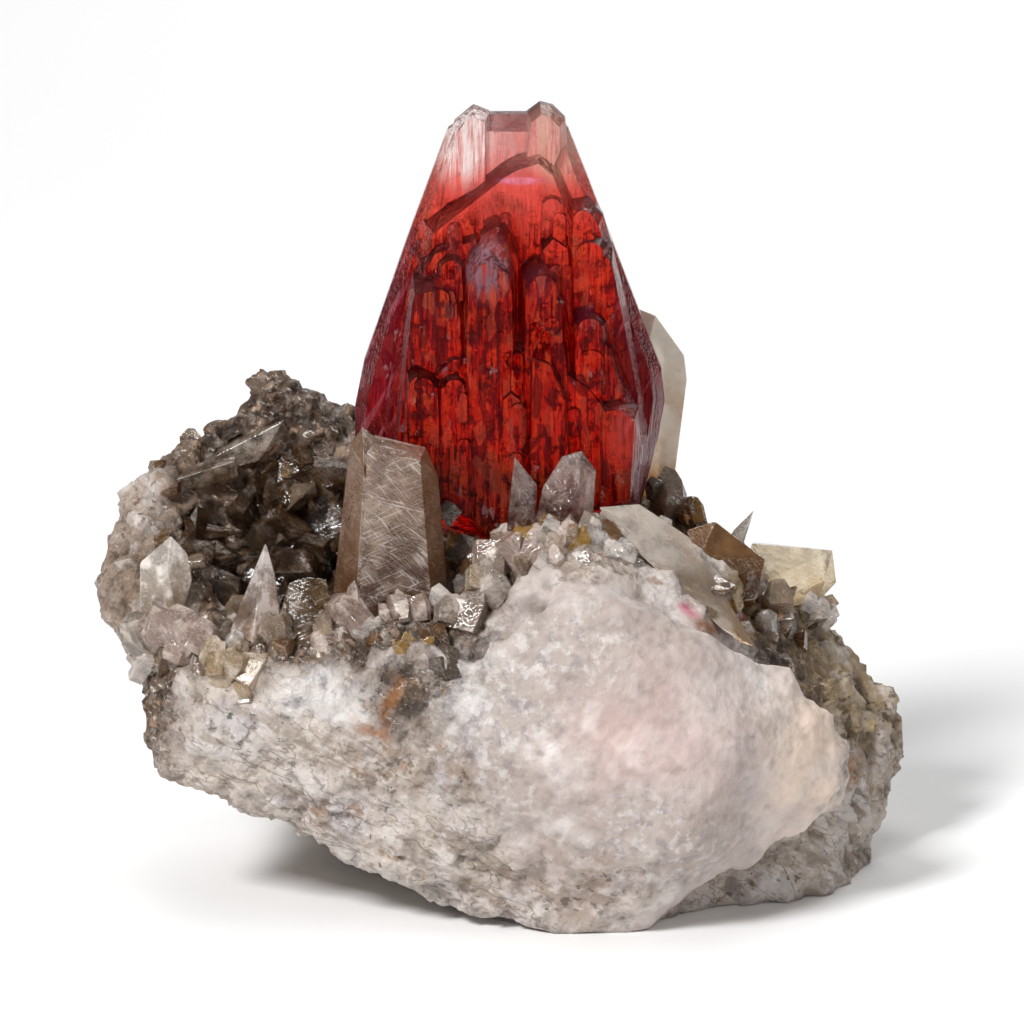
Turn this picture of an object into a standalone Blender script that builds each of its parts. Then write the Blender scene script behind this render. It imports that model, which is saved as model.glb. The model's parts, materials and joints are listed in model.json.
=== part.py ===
# Wendwilsonite on matrix: a deep red bladed crystal standing on a lump of rock, with calcite crystals around
# its foot and a hollow lined with small crystals at its left.
# Row frame: +Z up, +X to the right of the display side, -Y towards the viewer, origin mid-base.

import math

import bmesh
import bpy
from mathutils import Vector, noise

mm = 0.001

# Driving sizes, in millimetres
GAP = 0.1  # clearance between pieces that touch
BASE_Z = 0.0  # the sawn foot of the rock
SAW_WIDTH, SAW_DEPTH = 40.0, 6.0  # the block that cuts the foot flat
ROCK_GRAIN = 0.42  # voxel size that melts the rock's masses into one
ROCK_FACES = 3000
LUMP_SIZE, LUMP_HEIGHT = 3.6, 0.34
LEDGE_SIZE, LEDGE_HEIGHT = 1.5, 0.34
CRUMB_SIZE, CRUMB_HEIGHT = 0.75, 0.12
PALE_CENTRE, PALE_RADII = (5.2, -7.6, 5.8), (6.4, 3.6, 5.6)  # where the rock is smooth and sugary

VUG_CENTRE = (-6.5, -0.4, 12.1)
VUG_RADII = (4.2, 4.1, 4.1)
CRUST_THICKNESS = 0.55
BLADE_SQUARE = 0.45  # how much of a blade's thickness keeps its full width
CRUST_CRYSTALS = 44
CRUST_CRYSTAL_LENGTH, CRUST_CRYSTAL_EXTRA = 1.1, 1.4  # shortest, and how much longer at most
CRUST_CRYSTAL_WIDTH, CRUST_CRYSTAL_SPREAD = 0.34, 0.14  # usual half width, and how much it varies
CRUST_CRYSTAL_TIP = 0.12  # width at the tip as a share of the width at the root
CRUST_CRYSTAL_ROOT = 0.3  # how deep it is rooted in the lining
GOLDEN_TURN = math.radians(137.5)  # spreads the crystals evenly around the hollow

# The rock, as the masses that it is broken from. Each is the hull of its corners, in millimetres.
ROCK = {
    "host": [
        (2.0, -6.9, -0.7), (5.8, -4.7, -0.7), (10.4, -2.7, -0.7), (11.5, -0.6, -0.7), (11.7, 3.0, -0.7),
        (8.6, 7.2, -0.7), (2.0, 8.5, -0.7), (-3.8, 8.2, -0.7), (-5.4, 6.8, 0.9), (1.4, -6.0, 0.6),
        (-3.9, -5.8, 2.4), (-7.5, -5.2, 3.2), (-10.9, -4.0, 4.9), (-11.6, -3.4, 6.2), (-11.5, -2.8, 8.0),
        (-12.2, 1.0, 8.4), (-10.6, 6.2, 7.4), (-9.5, 6.6, 4.4), (-4.0, 8.7, 5.5), (5.0, 8.6, 5.0),
        (12.5, 2.4, 2.2), (12.9, 3.4, 3.4), (11.3, 3.4, 6.0), (8.0, 7.8, 6.3), (-9.0, -5.0, 8.4),
        (-3.0, -5.0, 9.1), (0.5, -5.0, 10.0), (6.5, -4.0, 9.0), (9.0, -2.0, 7.6), (9.3, 3.2, 8.0),
        (5.0, 3.6, 11.3), (0.0, 3.6, 11.6), (-5.5, 4.6, 11.0),
    ],
    "pale_mass": [
        (1.7, -6.5, 10.8), (2.9, -6.7, 11.0), (6.0, -6.5, 9.9), (7.6, -5.8, 8.7), (9.2, -5.0, 7.9),
        (10.5, -4.5, 6.1), (11.1, -4.2, 4.4), (10.8, -4.2, 3.4), (9.2, -5.0, 2.3), (7.4, -5.4, 1.5),
        (6.0, -6.1, 0.6), (3.6, -6.9, 0.2), (1.6, -7.2, 0.2), (4.5, -8.6, 6.2), (7.2, -7.9, 6.6),
        (2.0, -8.4, 5.2), (5.6, -8.2, 3.3), (4.0, -8.0, 8.8), (-0.8, -6.8, 9.4), (-1.1, -7.3, 7.0),
        (0.4, -7.5, 2.9), (3.0, -3.0, 5.0), (8.8, -2.2, 5.0),
    ],
    "grey_face": [
        (-11.6, -3.7, 6.9), (-11.1, -4.5, 4.75), (-9.6, -5.0, 3.8), (-7.5, -5.5, 3.1), (-5.5, -5.9, 2.9),
        (-3.9, -6.1, 2.4), (-2.0, -6.4, 2.0), (-0.2, -6.6, 1.0), (1.7, -7.0, 0.0), (-8.4, -6.1, 6.3),
        (-4.4, -7.0, 6.1), (-1.0, -7.4, 5.6), (-9.6, -5.3, 8.3), (-6.0, -6.0, 8.7), (-1.6, -6.5, 9.4),
        (-6.0, -1.0, 5.0), (2.0, -2.0, 5.0),
    ],
    "keel": [
        (-1.6, -6.6, 2.0), (0.7, -7.1, 0.8), (1.7, -7.2, -0.3), (2.6, -6.9, -0.4), (4.3, -6.6, -0.4),
        (1.2, -7.6, 2.6), (-1.6, -7.1, 3.0), (5.2, -6.6, 1.6), (2.0, -4.0, 2.0), (4.6, -4.5, -0.4),
    ],
    "left_wall": [
        (-13.1, 0.0, 9.3), (-12.7, -1.0, 8.6), (-11.8, -2.6, 8.3), (-12.95, 0.5, 10.2), (-12.75, 1.5, 10.9),
        (-12.4, 2.5, 11.9), (-11.7, 3.1, 12.4), (-10.8, 3.6, 12.9), (-11.2, 5.8, 11.6), (-11.0, 6.2, 7.6),
        (-9.6, 4.2, 12.8), (-10.4, -4.3, 8.5), (-9.6, -3.6, 9.2), (-10.2, 0.0, 10.6), (-12.3, -1.5, 6.8),
        (-9.0, 3.0, 8.0),
    ],
    "back_ridge": [
        (-10.6, 3.6, 13.2), (-10.2, 4.0, 13.5), (-9.4, 4.5, 13.7), (-8.1, 4.7, 14.0), (-6.7, 5.0, 14.7),
        (-5.2, 5.4, 14.4), (-3.4, 5.4, 14.0), (-0.4, 5.0, 13.0), (3.2, 4.8, 12.3), (-10.6, 6.8, 10.2),
        (-4.0, 8.2, 10.6), (3.2, 8.0, 9.3), (-9.0, 2.6, 11.6), (-4.6, 2.8, 12.6), (1.0, 2.9, 11.5),
        (-9.6, 7.3, 6.4), (-9.4, 3.4, 8.0), (3.2, 8.4, 6.0),
    ],
    "spur": [
        (-7.9, 4.9, 15.6), (-8.6, 4.9, 15.0), (-8.5, 4.3, 14.2), (-7.1, 4.7, 15.3), (-6.9, 5.7, 15.0),
        (-8.1, 5.8, 15.0), (-8.4, 4.8, 13.4), (-6.6, 4.9, 13.6), (-7.2, 5.9, 13.4), (-7.2, 4.2, 13.8),
    ],
    "crest": [
        (-0.8, -2.1, 11.9), (0.5, -2.6, 12.4), (1.7, -2.9, 12.75), (3.0, -2.7, 12.85), (4.2, -2.2, 12.6),
        (5.8, -2.1, 11.6), (6.8, -3.0, 10.0), (7.9, -3.4, 8.5), (0.0, -1.2, 11.3), (4.6, -1.0, 11.6),
        (7.2, 0.0, 10.3), (0.4, -5.5, 10.3), (3.0, -5.9, 10.9), (6.0, -5.4, 9.8), (2.0, -3.0, 8.0),
        (7.0, -2.0, 7.0),
    ],
    "right_shoulder": [
        (5.0, 3.8, 11.9), (6.0, 2.8, 11.5), (8.0, 2.8, 9.4), (9.3, 3.3, 8.1), (10.8, 3.1, 7.4),
        (11.2, 3.1, 6.4), (11.9, 3.4, 5.0), (13.0, 3.5, 4.2), (13.35, 3.1, 2.7), (12.8, 2.2, 1.7),
        (8.0, 7.2, 7.0), (10.8, 6.0, 3.6), (5.0, 7.0, 9.0), (6.0, 1.0, 6.0),
    ],
}

# The red crystal is a sheaf of blades grown in parallel. Each is (outline in X and Z, Y of its root face,
# Y of its free face, how far its edges slope in towards the free face).
RED_BLADES = [
    # the back blade carries the crystal's whole outline, with two ribs that make its broken top
    ([(-1.0, 24.5), (-1.8, 24.0), (-2.0, 23.5), (-2.6, 21.8), (-3.0, 20.8), (-3.8, 18.4), (-4.5, 16.5),
      (-4.8, 15.0), (-4.8, 14.0), (-3.4, 12.0), (-2.0, 10.8), (-0.6, 10.4), (3.0, 10.4), (4.3, 11.6),
      (4.9, 14.0), (5.1, 15.2), (5.0, 16.2), (4.0, 18.2), (3.6, 19.6), (3.2, 20.9), (2.6, 22.5), (2.2, 23.5),
      (2.0, 24.0), (1.3, 24.5)], 1.9, 0.7, 0.45),
    ([(0.7, 24.6), (1.1, 24.9), (1.5, 24.8), (1.9, 24.4), (2.0, 23.5), (1.3, 22.2), (0.5, 22.5)],
     1.5, 0.45, 0.25),
    ([(-1.6, 24.3), (-1.0, 24.8), (-0.5, 24.6), (-0.5, 22.2), (-2.1, 21.5), (-1.9, 23.2)], 1.5, 0.5, 0.25),
    # the second layer, whose upper edge runs up across the crystal
    ([(-2.6, 21.2), (-0.9, 22.5), (0.0, 23.2), (0.4, 23.4), (1.1, 23.6), (1.6, 23.2), (1.8, 22.5),
      (2.7, 20.7), (3.4, 18.7), (4.3, 16.5), (4.6, 14.5), (4.3, 11.6), (-0.5, 10.6), (-3.4, 12.2),
      (-4.0, 14.8), (-3.5, 17.8)], 1.4, 0.05, 0.45),
    ([(2.0, 21.9), (2.6, 22.0), (3.1, 21.4), (3.4, 20.4), (3.0, 18.7), (2.1, 20.0)], 1.2, 0.1, 0.3),
    # the middle layer's terminations, left to right
    ([(-2.7, 20.0), (-2.2, 20.7), (-0.8, 21.1), (-0.7, 18.8), (-1.1, 11.4), (-3.5, 12.6), (-3.3, 17.5)],
     0.9, -0.35, 0.35),
    ([(-0.7, 21.4), (-0.3, 21.6), (0.1, 21.4), (0.5, 20.5), (0.5, 11.4), (-0.8, 11.4), (-0.8, 18.8)],
     0.8, -0.6, 0.35),
    ([(1.1, 22.0), (1.4, 22.3), (1.9, 22.2), (2.1, 20.7), (1.7, 18.8), (1.1, 20.4)], 0.8, -0.2, 0.3),
    ([(1.1, 20.8), (1.5, 21.2), (2.0, 20.9), (2.2, 18.8), (2.7, 11.8), (1.0, 11.4), (0.8, 18.8)],
     0.8, -0.55, 0.35),
    ([(2.0, 20.9), (2.8, 21.0), (3.4, 20.4), (3.8, 18.8), (4.4, 15.5), (4.3, 12.0), (2.4, 11.6), (2.0, 18.8)],
     0.9, -0.35, 0.35),
    # the front layer's terminations, left to right
    ([(-3.0, 19.3), (-2.9, 19.6), (-2.3, 19.7), (-1.5, 19.7), (-1.2, 18.7), (-1.1, 11.6), (-2.1, 11.8),
      (-3.6, 13.2), (-3.4, 15.8), (-3.2, 17.7)], 0.5, -1.2, 0.4),
    ([(-2.2, 20.1), (-1.8, 20.5), (-1.3, 20.4), (-1.2, 19.6), (-1.4, 17.7), (-2.1, 17.7)], 0.5, -0.9, 0.3),
    ([(-1.3, 20.1), (-0.8, 20.8), (-0.4, 20.9), (0.2, 20.5), (0.4, 19.7), (0.4, 18.1), (0.4, 11.6),
      (-0.6, 11.0), (-1.4, 11.8), (-1.4, 18.1)], 0.5, -1.65, 0.55),
    ([(0.5, 19.9), (0.9, 20.3), (1.4, 20.1), (1.8, 19.5), (2.0, 18.6), (2.3, 16.5), (2.4, 11.8), (0.5, 11.6),
      (0.4, 18.4)], 0.5, -1.45, 0.5),
    ([(2.0, 18.3), (2.2, 18.7), (2.7, 18.8), (3.1, 18.2), (3.7, 16.9), (4.2, 15.6), (4.3, 14.1), (4.2, 12.2),
      (2.2, 11.8), (2.0, 16.4)], 0.6, -1.15, 0.45),
    # the front layer's common body, below its terminations
    ([(-3.4, 13.2), (-3.2, 16.4), (-2.2, 17.6), (-0.6, 18.0), (0.6, 18.1), (1.8, 17.6), (3.2, 16.6),
      (4.1, 15.2), (4.3, 13.8), (4.2, 12.0), (0.4, 11.0), (-2.1, 11.6)], 0.5, -1.35, 0.7),
    # the low steps on the front layer
    ([(-3.1, 16.8), (-2.8, 17.0), (-2.0, 16.6), (-1.9, 12.4), (-3.3, 13.4)], -0.6, -1.8, 0.3),
    ([(-2.1, 16.6), (-1.5, 16.9), (-1.2, 16.6), (-1.0, 11.8), (-2.1, 12.2)], -0.6, -1.8, 0.3),
    ([(-0.1, 16.3), (0.2, 16.5), (0.5, 16.3), (0.6, 11.8), (-0.2, 11.6)], -1.0, -2.0, 0.3),
    ([(0.8, 17.6), (1.4, 17.4), (2.0, 16.2), (2.2, 12.2), (0.7, 11.8)], -0.9, -1.85, 0.3),
    ([(3.0, 15.8), (3.6, 15.9), (4.2, 15.5), (4.3, 14.2), (4.0, 12.4), (2.9, 12.2)], -0.6, -1.6, 0.3),
    # the ribs on the back
    ([(-3.5, 17.0), (-2.4, 18.3), (-1.1, 18.8), (-0.8, 11.8), (-3.4, 12.2)], 1.3, 2.5, 0.35),
    ([(-1.1, 21.2), (-0.2, 22.0), (0.8, 21.5), (1.3, 11.6), (-1.1, 11.4)], 1.3, 2.7, 0.35),
    ([(1.3, 19.6), (2.2, 20.4), (3.0, 18.3), (4.3, 14.4), (3.7, 11.6), (1.1, 11.4)], 1.3, 2.5, 0.35),
]

# Each calcite crystal is the hull of its corners, in millimetres. Those grown together are listed together.
CALCITE = {
    "calcite_front": [
        [(-4.3, -3.7, 14.75), (-2.65, -3.8, 14.5), (-2.25, -4.3, 9.2), (-4.6, -4.3, 9.0), (-2.1, -3.0, 13.8),
         (-1.75, -3.1, 9.4), (-4.1, -2.5, 15.0), (-2.5, -2.5, 14.6), (-4.1, -2.2, 9.2), (-2.2, -2.2, 9.2)],
        [(-4.45, -2.9, 15.35), (-4.85, -2.9, 14.8), (-3.9, -3.0, 14.9), (-5.45, -3.1, 9.6), (-4.7, -4.0, 9.2),
         (-4.4, -3.7, 14.2), (-3.8, -4.0, 9.0), (-4.5, -2.2, 14.0), (-5.0, -2.2, 9.4), (-3.8, -2.4, 9.2)],
    ],
    "calcite_behind": [
        [(4.35, 4.0, 17.65), (4.85, 3.7, 17.5), (5.8, 4.0, 16.1), (5.9, 4.1, 15.3), (5.35, 3.7, 10.8),
         (3.6, 4.2, 17.0), (3.3, 3.9, 10.8), (4.4, 3.1, 15.8), (4.4, 3.1, 10.8), (4.8, 5.0, 16.0),
         (4.6, 5.0, 10.8)],
    ],
    "calcite_right": [
        [(8.0, 3.1, 10.05), (10.6, 3.0, 9.85), (10.75, 3.1, 8.75), (10.2, 2.6, 8.3), (8.6, 2.7, 7.9),
         (8.3, 2.5, 8.9), (8.1, 4.3, 9.8), (10.3, 4.2, 9.6), (10.4, 4.2, 8.6), (8.4, 4.4, 7.6),
         (7.6, 3.2, 8.6)],
        [(9.6, 2.5, 8.2), (10.6, 2.6, 8.5), (10.85, 2.9, 8.1), (10.5, 3.1, 7.75), (9.7, 2.5, 7.3),
         (9.4, 3.5, 7.2)],
    ],
    "calcite_brown": [
        [(5.8, 0.3, 11.2), (6.7, 0.3, 11.5), (8.3, -0.1, 10.35), (8.0, -0.7, 9.2), (6.8, -1.1, 9.1),
         (6.2, -0.6, 10.6), (6.6, 1.4, 11.1), (8.2, 1.2, 10.0), (7.9, 0.4, 8.6), (6.0, 0.6, 8.8)],
    ],
    "calcite_splinter": [
        [(7.0, 1.75, 10.2), (7.5, 2.1, 9.6), (7.35, 1.6, 10.9), (8.05, 2.0, 11.5), (7.2, 2.3, 9.8)],
    ],
    "calcite_foot": [
        [(0.3, -2.6, 14.3), (0.05, -2.9, 12.0), (0.95, -3.0, 12.1), (1.0, -2.5, 13.4), (0.5, -2.1, 12.0),
         (0.6, -3.3, 12.0)],
        [(0.9, -2.9, 12.1), (1.2, -2.8, 13.4), (1.8, -2.7, 14.35), (2.4, -2.6, 14.5), (2.85, -2.7, 13.9),
         (2.75, -2.8, 12.2), (1.8, -3.5, 12.4), (2.3, -3.4, 13.6), (1.9, -2.15, 12.2), (2.3, -2.2, 13.8)],
    ],
    "calcite_dogtooth": [
        [(-7.5, -3.55, 11.85), (-8.65, -3.9, 9.0), (-7.9, -4.6, 8.8), (-7.0, -4.4, 9.0), (-6.95, -3.6, 9.0),
         (-7.2, -3.9, 10.8), (-7.7, -3.2, 9.2)],
    ],
    "calcite_left_block": [
        [(-11.5, -2.6, 10.9), (-10.5, -2.7, 11.8), (-10.0, -2.6, 11.2), (-9.85, -2.8, 10.4), (-10.3, -3.4, 9.0),
         (-11.5, -3.3, 9.0), (-10.6, -3.4, 10.9), (-11.1, -1.9, 10.8), (-10.2, -1.9, 9.2), (-11.3, -2.0, 8.8)],
    ],
    "calcite_smoky_block": [
        [(-6.75, -3.9, 10.6), (-6.2, -4.0, 10.8), (-5.6, -3.9, 10.7), (-5.35, -4.4, 9.7), (-5.8, -4.9, 8.4),
         (-6.85, -4.7, 8.6), (-7.0, -4.1, 9.8), (-6.8, -3.5, 9.0), (-5.6, -3.5, 8.8)],
    ],
    "calcite_slabs": [
        [(-9.4, 2.9, 13.0), (-7.2, 3.1, 14.1), (-7.0, 3.3, 13.7), (-9.2, 2.9, 12.5), (-9.3, 4.2, 13.1),
         (-7.2, 4.4, 13.9), (-8.0, 3.0, 12.8)],
        [(-10.6, 2.2, 12.4), (-8.7, 2.3, 13.0), (-8.6, 2.6, 12.4), (-10.4, 2.5, 11.9), (-10.3, 3.6, 12.6),
         (-8.8, 3.7, 12.9)],
    ],
    "calcite_yellow": [
        [(-3.5, -5.6, 8.7), (-3.1, -5.6, 9.5), (-2.7, -5.6, 9.2), (-2.8, -6.1, 8.3), (-3.3, -6.3, 8.2),
         (-3.4, -6.1, 8.9), (-2.7, -5.2, 8.4), (-3.3, -5.2, 8.4)],
    ],
    "calcite_plate": [
        [(2.9, -3.35, 12.9), (4.2, -2.75, 12.85), (5.8, -2.7, 11.75), (6.75, -3.5, 10.1), (7.9, -4.0, 8.5),
         (6.8, -4.4, 9.2), (5.4, -4.3, 10.5), (4.0, -3.9, 11.7), (4.3, -3.1, 11.6), (6.0, -3.4, 10.0),
         (7.4, -3.9, 8.6)],
    ],
}

COLOURS = {  # linear base colour, roughness, transmission
    "matrix": ((0.46, 0.42, 0.40, 1.0), 0.85, 0.0),
    "vug_crust": ((0.16, 0.12, 0.09, 1.0), 0.35, 0.0),
    "wendwilsonite": ((0.55, 0.02, 0.03, 1.0), 0.05, 0.9),
    "calcite": ((0.60, 0.52, 0.46, 1.0), 0.10, 0.8),
}


def clear_scene():
    for thing in list(bpy.data.objects):
        bpy.data.objects.remove(thing, do_unlink=True)


def make_collection(name, shown):
    collection = bpy.data.collections.new(name)
    bpy.context.scene.collection.children.link(collection)
    collection.hide_render = not shown
    return collection


def make_material(name):
    colour, roughness, transmission = COLOURS[name]
    material = bpy.data.materials.new(name)
    material.use_nodes = True
    shader = material.node_tree.nodes["Principled BSDF"]
    shader.inputs["Base Color"].default_value = colour
    shader.inputs["Roughness"].default_value = roughness
    shader.inputs["Transmission Weight"].default_value = transmission
    return material


def new_object(name, bm, collection):
    mesh = bpy.data.meshes.new(name)
    bm.to_mesh(mesh)
    bm.free()
    thing = bpy.data.objects.new(name, mesh)
    collection.objects.link(thing)
    return thing


def hull(name, corners, collection, grow=0.0):
    """The convex hull of the corners, given in millimetres and pushed out from their middle by grow."""
    middle = sum((Vector(c) for c in corners), Vector()) / len(corners)
    bm = bmesh.new()
    for corner in corners:
        out = Vector(corner) - middle
        bm.verts.new((middle + out + out.normalized() * grow) * mm)
    bmesh.ops.convex_hull(bm, input=bm.verts)
    spare = [v for v in bm.verts if not v.link_faces]
    bmesh.ops.delete(bm, geom=spare, context="VERTS")
    bmesh.ops.recalc_face_normals(bm, faces=bm.faces)
    return new_object(name, bm, collection)


def baked(thing):
    """Replaces an object's mesh by what its modifiers make of it."""
    bpy.context.view_layer.update()
    graph = bpy.context.evaluated_depsgraph_get()
    mesh = bpy.data.meshes.new_from_object(thing.evaluated_get(graph))
    thing.modifiers.clear()
    thing.data = mesh
    return thing


def boolean(thing, other, operation):
    modifier = thing.modifiers.new(operation.lower(), "BOOLEAN")
    modifier.operation = operation
    modifier.solver = "EXACT"
    modifier.object = other
    baked(thing)
    bpy.data.objects.remove(other, do_unlink=True)
    return thing


def united(things):
    first = things[0]
    for other in things[1:]:
        boolean(first, other, "UNION")
    return first


def largest_body(thing):
    """Drops the chips that a cut leaves loose, and keeps the biggest connected piece."""
    bm = bmesh.new()
    bm.from_mesh(thing.data)
    bm.verts.ensure_lookup_table()
    seen, bodies = set(), []
    for start in range(len(bm.verts)):
        if start in seen:
            continue
        seen.add(start)
        body = [start]
        for index in body:
            for edge in bm.verts[index].link_edges:
                other = edge.other_vert(bm.verts[index]).index
                if other not in seen:
                    seen.add(other)
                    body.append(other)
        bodies.append(body)
    kept = max(bodies, key=len)
    spare = [bm.verts[index] for body in bodies if body is not kept for index in body]
    bmesh.ops.delete(bm, geom=spare, context="VERTS")
    bm.to_mesh(thing.data)
    bm.free()
    return thing


def rock_relief(point):
    """How far the broken surface stands out at a point in millimetres: lumps, ledges and crumbs."""
    lump = noise.fractal(point / LUMP_SIZE, 1.0, 2.0, 3)
    distances, _ = noise.voronoi(point / LEDGE_SIZE + Vector((7.3, 1.9, 4.4)))
    ledge = min(distances[1] - distances[0], 0.5) * 2 - 0.5
    crumb = noise.noise(point / CRUMB_SIZE)
    return LUMP_HEIGHT * lump + LEDGE_HEIGHT * ledge + CRUMB_HEIGHT * crumb


def pale_share(point):
    """1 on the smooth pale mass at the front right, 0 away from it."""
    away = Vector([(p - c) / r for p, c, r in zip(point, PALE_CENTRE, PALE_RADII)])
    return max(0.0, min(1.0, 2.4 * (1.0 - away.length)))


def rock_body(collection):
    """The masses melted into one, roughened, thinned, and sawn flat at the foot."""
    bm = bmesh.new()
    for name, corners in ROCK.items():
        mass = hull(name, corners, collection)
        bm.from_mesh(mass.data)
        bpy.data.objects.remove(mass, do_unlink=True)
    rock = new_object("matrix", bm, collection)
    melt = rock.modifiers.new("melt", "REMESH")
    melt.mode = "VOXEL"
    melt.voxel_size = ROCK_GRAIN * mm
    soften = rock.modifiers.new("soften", "SMOOTH")
    soften.factor = 0.5
    soften.iterations = 2
    baked(rock)
    for vertex in rock.data.vertices:
        point = vertex.co / mm
        calm = 1.0 - 0.75 * pale_share(point)
        vertex.co += vertex.normal * rock_relief(point) * calm * mm
    thin = rock.modifiers.new("thin", "DECIMATE")
    thin.ratio = ROCK_FACES / (2 * len(rock.data.polygons))
    baked(rock)
    return rock


def foot_cutter(collection):
    bm = bmesh.new()
    bmesh.ops.create_cube(bm, size=1.0)
    bmesh.ops.scale(bm, vec=(SAW_WIDTH * mm, SAW_WIDTH * mm, SAW_DEPTH * mm), verts=bm.verts)
    bmesh.ops.translate(bm, vec=(0, 0, (BASE_Z - SAW_DEPTH / 2) * mm), verts=bm.verts)
    return new_object("foot_cutter", bm, collection)


def hollow(name, shrink, collection):
    """The hollow's own shape: a lumpy ellipsoid, smaller by shrink all round."""
    bm = bmesh.new()
    bmesh.ops.create_icosphere(bm, subdivisions=3, radius=1.0)
    for vertex in bm.verts:
        lump = 1.0 + 0.10 * noise.noise(vertex.co * 2.1 + Vector((3.1, 0.4, 8.8)))
        away = Vector([c * (r * lump - shrink) for c, r in zip(vertex.co, VUG_RADII)])
        vertex.co = (Vector(VUG_CENTRE) + away) * mm
    return new_object(name, bm, collection)


def crust_crystal(crust, index, collection):
    """A small six-sided crystal rooted in the hollow's lining and pointing inwards, or None off its edge."""
    turn = index * GOLDEN_TURN
    down = 0.30 - 1.25 * (index + 0.5) / CRUST_CRYSTALS
    level = math.sqrt(max(0.0, 1.0 - down * down))
    wall = Vector((level * math.cos(turn), level * math.sin(turn), down))
    found, seat, normal, _ = crust.ray_cast(Vector(VUG_CENTRE) * mm, wall)
    if not found or normal.dot(wall) > -0.5:
        return None
    lean = Vector([noise.noise(wall * 5.0 + Vector((0, 0, 9 * axis))) for axis in range(3)])
    heading = (normal + lean * 0.8).normalized()
    length = CRUST_CRYSTAL_LENGTH + CRUST_CRYSTAL_EXTRA * abs(noise.noise(wall * 9.0 + Vector((5, 5, 5))))
    width = CRUST_CRYSTAL_WIDTH + CRUST_CRYSTAL_SPREAD * noise.noise(wall * 7.0)
    bm = bmesh.new()
    bmesh.ops.create_cone(bm, cap_ends=True, segments=6, radius1=width * mm,
                          radius2=CRUST_CRYSTAL_TIP * width * mm, depth=length * mm)
    place = heading.to_track_quat("Z", "Y").to_matrix().to_4x4()
    place.translation = seat + heading * (length / 2 - CRUST_CRYSTAL_ROOT) * mm
    bmesh.ops.transform(bm, matrix=place, verts=bm.verts)
    return new_object("crust_crystal", bm, collection)


def vug_crust(rock, collection):
    """The druse that lines the hollow, one body with its small crystals."""
    crust = hollow("vug_crust", GAP, collection)
    boolean(crust, hollow("hollow_inside", CRUST_THICKNESS, collection), "DIFFERENCE")
    limit = rock.copy()
    limit.data = rock.data.copy()
    collection.objects.link(limit)
    return largest_body(boolean(crust, limit, "INTERSECT"))


def blade(name, outline, root, free, slope, collection, grow=0.0):
    """A flat crystal blade: full width from its root face, and drawn in by slope at its free face."""
    middle_x = sum(x for x, _ in outline) / len(outline)
    middle_z = sum(z for _, z in outline) / len(outline)
    corners = []
    for x, z in outline:
        out = Vector((x - middle_x, 0, z - middle_z))
        drawn = out * max(0.0, 1 - slope / out.length)
        corners.append((x, root, z))
        corners.append((x, root + (free - root) * BLADE_SQUARE, z))
        corners.append((middle_x + drawn.x, free, middle_z + drawn.z))
    return hull(name, corners, collection, grow)


def red_crystal(name, collection, grow=0.0):
    blades = [blade(f"{name}_blade", *row, collection, grow) for row in RED_BLADES]
    crystal = united(blades)
    crystal.name = name
    return crystal


def calcite(name, collection, grow=0.0):
    return united([hull(name, corners, collection, grow) for corners in CALCITE[name]])


def flat_shaded(thing, material):
    thing.data.materials.clear()
    thing.data.materials.append(material)
    thing.data.shade_flat()


def build():
    clear_scene()
    parts = make_collection("wendwilsonite_on_matrix", True)
    helpers = make_collection("cutters", False)
    materials = {name: make_material(name) for name in COLOURS}

    rock = rock_body(helpers)
    boolean(rock, foot_cutter(helpers), "DIFFERENCE")
    crust = vug_crust(rock, helpers)
    boolean(rock, hollow("hollow_cutter", 0.0, helpers), "DIFFERENCE")
    small = [crust_crystal(crust, index, helpers) for index in range(CRUST_CRYSTALS)]
    druse = united([crystal for crystal in small if crystal])
    boolean(crust, boolean(druse, hollow("hollow_limit", GAP, helpers), "INTERSECT"), "UNION")

    crystals = {"wendwilsonite_crystal": red_crystal("wendwilsonite_crystal", helpers)}
    pockets = [red_crystal("pocket", helpers, GAP)]
    for name in CALCITE:
        crystals[name] = calcite(name, helpers)
        pockets.append(calcite(name, helpers, GAP))
    for pocket in pockets:
        for cut in (rock, crust):
            copy = pocket.copy()
            copy.data = pocket.data.copy()
            helpers.objects.link(copy)
            largest_body(boolean(cut, copy, "DIFFERENCE"))
        bpy.data.objects.remove(pocket, do_unlink=True)

    flat_shaded(rock, materials["matrix"])
    flat_shaded(crust, materials["vug_crust"])
    for name, crystal in crystals.items():
        flat_shaded(crystal, materials["wendwilsonite" if name.startswith("wend") else "calcite"])
    for thing in [rock, crust, *crystals.values()]:
        helpers.objects.unlink(thing)
        parts.objects.link(thing)


build()
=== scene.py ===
import json
import math

import bmesh
import bpy
import numpy as np
from mathutils import Euler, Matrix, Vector, noise
from mathutils.bvhtree import BVHTree


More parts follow.
